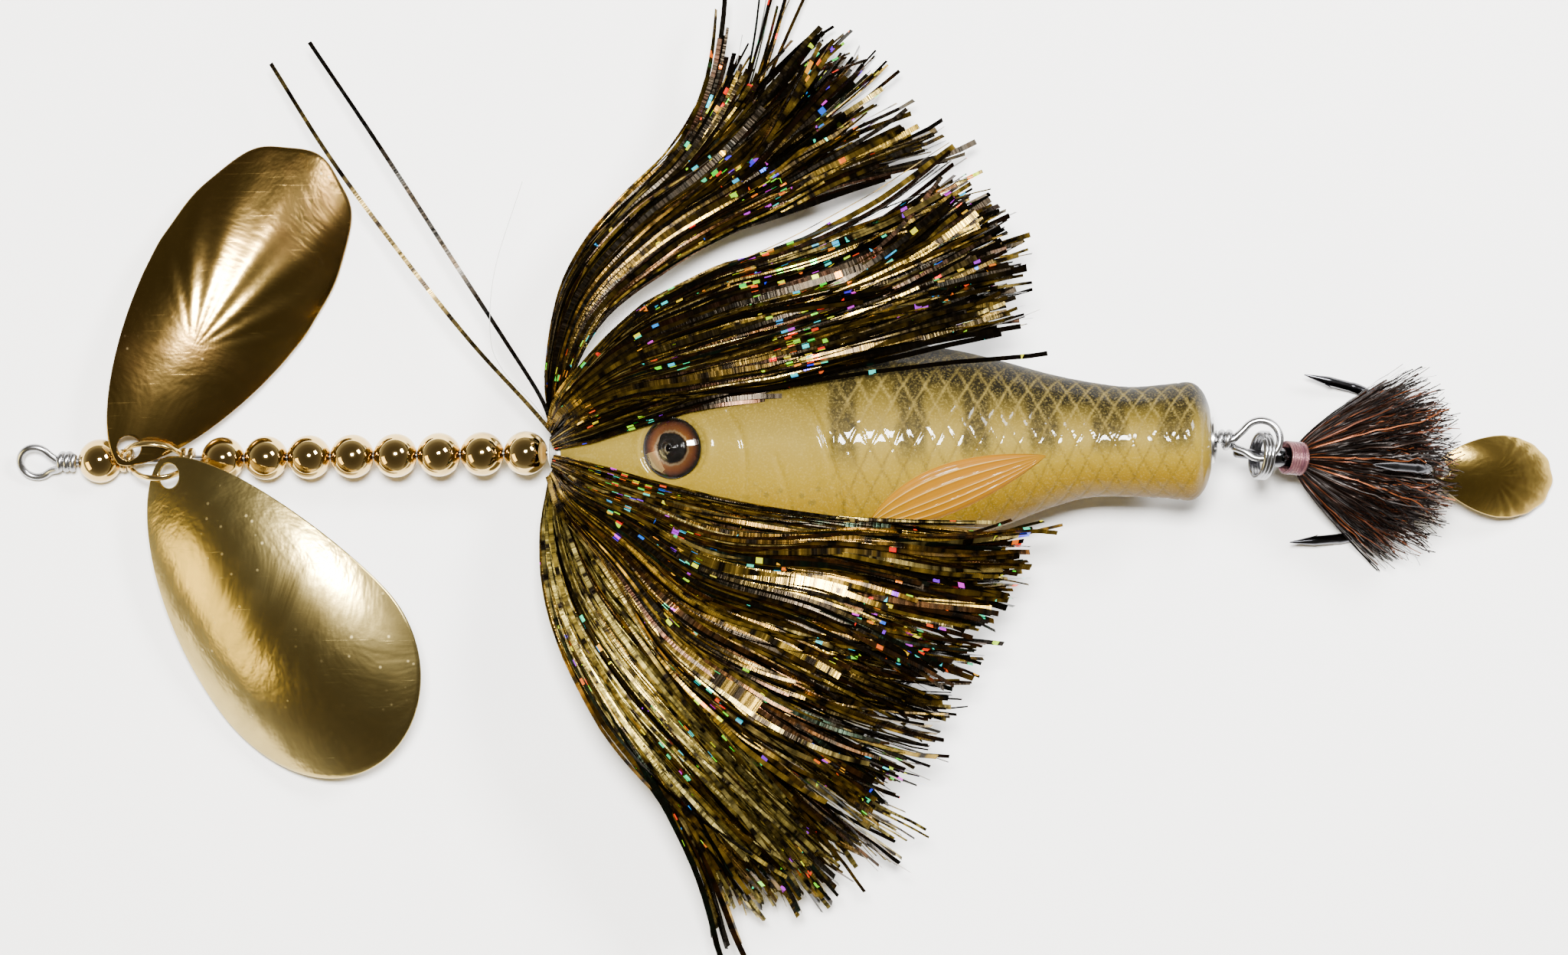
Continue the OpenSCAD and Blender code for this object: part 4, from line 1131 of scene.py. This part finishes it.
stray("stray_black", [(96.3, 4, 2), (94.5, 10, 4), (88, 21, 5.5), (78, 37, 6), (66, 56, 5), (53, 75.5, 3)],
      "flash_black_strip", (0.012, 0.012, 0.011))
stray("stray_brown", [(96.3, 3.6, 2.6), (92, 9, 4.5), (82, 20.5, 6), (70, 36, 6), (57, 54, 5), (45.8, 71.8, 3)],
      "flash_brown_strip", (0.20, 0.14, 0.04))
hair = smooth_path([(96.2, 4.2, 1.6), (93, 9, 4), (88, 15, 6), (86, 21, 7), (87, 33, 7), (92, 49, 5)], 60)
p, q, t, uv = tube(hair, 0.06, 6)
make("stray_hair", p, q, HAIR, "body", [], uv, t)


def coil_rows(x0, x1, radius, wire, mat, name, nodes, body, place=None):
    """Thread wound on close, in two crossing layers."""
    turns = (x1 - x0) / (wire * 1.7)
    n = int(turns * 40)
    t = np.linspace(0, 1, n)
    a = 2 * math.pi * turns * t
    parts = []
    for layer in range(2):
        x = x0 + (x1 - x0) * (t if layer == 0 else 1 - t)
        r = radius + layer * wire * 0.9
        path = np.stack([x, r * np.cos(a + layer), r * np.sin(a + layer)], -1)
        pts, quads, tris, uv = tube(path, wire, 6)
        uv = np.stack([np.floor(uv[:, 0] / 6) + 0.5, uv[:, 0]], -1)
        parts.append((pts, quads, tris, uv))
    p, q, t, uv = joined(parts)
    if place:
        p = p @ place[0].T + place[1]
    make(name, p, q, mat, body, nodes, uv, t)


coil_rows(95.75, 97.1, 3.15, 0.14, TYING, "skirt_thread_winding", ["skirt_thread"], "body")
coil_rows(6.55, 10.4, 2.75, 0.16, WRAP, "treble_thread_winding", ["treble_thread"],
          "rear_treble", TAIL)


def dressing():
    """Fibres that flare back from the tying thread, all round the shank and between the hooks."""
    rng = np.random.default_rng(31)
    n, m = 3600, 14
    a = rng.uniform(0, 2 * math.pi, n)
    t = np.linspace(0, 1, m)[None]
    length = rng.uniform(17, 28, n)[:, None]
    flare = (0.60 * rng.uniform(0.02, 1, n) ** 0.6)[:, None]
    r = 2.7 + length * flare * (t ** 0.85) + rng.normal(0, 0.5, n)[:, None] * t
    x = 9.6 + length * t * np.sqrt(1 - np.clip(flare, 0, 0.8) ** 2)
    wob = rng.normal(0, 0.10, n)[:, None] * t ** 1.5 + rng.normal(0, 0.03, (n, m)) * t
    ang = a[:, None] + wob
    local = np.stack([x, r * np.cos(ang), r * np.sin(ang)], -1)
    pts = local @ TAIL[0].T + TAIL[1]
    low = floor_at(pts[..., 0]) + 0.2 + rng.uniform(0, 1.2, (n, 1))
    pts[..., 2] = np.maximum(pts[..., 2], low)
    width = rng.uniform(0.12, 0.26, n)
    twist = rng.uniform(0, 3, n)[:, None] + rng.normal(0, 3, n)[:, None] * t
    p, q, _, uv = ribbons(pts, width, twist)
    make("treble_dressing_fibres", p, q, DRESSING, "rear_treble", ["treble_dressing"], uv)


dressing()

# ---------------------------------------------------------------- carried-over nodes
for name, mat in {"skirt_collar": COLLAR, "bore_tube": TUBE, "nose_bush": BUSH, "tail_bush": BUSH,
                  "keel_weight": LEAD, "belly_hanger": STEEL, "tail_link": STEEL, "rear_washer": WASHER}.items():
    NODE[name].data.materials.clear()
    NODE[name].data.materials.append(mat)

# ---------------------------------------------------------------- floor, lights and camera
def paper():
    mat, tree, bsdf = new_material("white_card")
    v = coords(tree)
    n = noise(tree, v, 60, 4)
    shade(tree, bsdf, {"Base Color": mix(tree, n, (0.93, 0.93, 0.93), (0.90, 0.90, 0.90)),
                       "Roughness": spread(tree, n, 0, 1, 0.85, 0.95)})
    return mat


def floor():
    mesh = bpy.data.meshes.new("floor")
    h = FLOOR_Z / 1000
    mesh.from_pydata([(-2, -2, h), (2.3, -2, h), (2.3, 2, h), (-2, 2, h)], [], [(0, 1, 2, 3)])
    mesh.materials.append(paper())
    obj = add_object("floor", mesh)


floor()


def area(name, at, target, size, power, colour=(1, 1, 1)):
    light = bpy.data.lights.new(name, "AREA")
    light.shape = "RECTANGLE"
    light.size, light.size_y = size
    light.energy = power
    light.color = colour
    obj = add_object(name, light)
    obj.location = at
    obj.rotation_euler = (Vector(target) - Vector(at)).to_track_quat("-Z", "Y").to_euler()


area("key", (0.12, 0.14, 0.95), (0.13, 0, 0), (0.20, 0.14), 40, (1, 0.98, 0.95))
area("left", (-0.65, -0.30, 0.35), (0.05, 0, 0), (0.5, 0.3), 3.4, (1.0, 0.80, 0.30))
area("right", (0.60, 0.34, 0.62), (0.1, 0, 0), (0.26, 0.2), 11)

world = bpy.data.worlds.new("studio")
bpy.context.scene.world = world
world.use_nodes = True
wt = world.node_tree
bg = next(n for n in wt.nodes if n.type == "BACKGROUND")
direction = node(wt, "ShaderNodeTexCoord").outputs["Generated"]
SKY_STOPS = [(0.0, (0.80, 0.80, 0.80)), (0.28, (0.50, 0.49, 0.47)), (0.5, (0.20, 0.18, 0.15)),
             (0.75, (0.12, 0.105, 0.085)), (1.0, (0.085, 0.075, 0.06))]
put(wt, bg.inputs["Color"], ramp(wt, spread(wt, split(wt, direction)[2], -0.2, 1), SKY_STOPS))
bg.inputs["Strength"].default_value = 1.0

cam_data = bpy.data.cameras.new("camera")
cam_data.lens = 100
cam_data.sensor_width = 36
cam = add_object("camera", cam_data)
cam.location = (0.1375, -0.0053, 0.801)
cam.rotation_euler = (0, 0, math.radians(-1.03))
bpy.context.scene.camera = cam
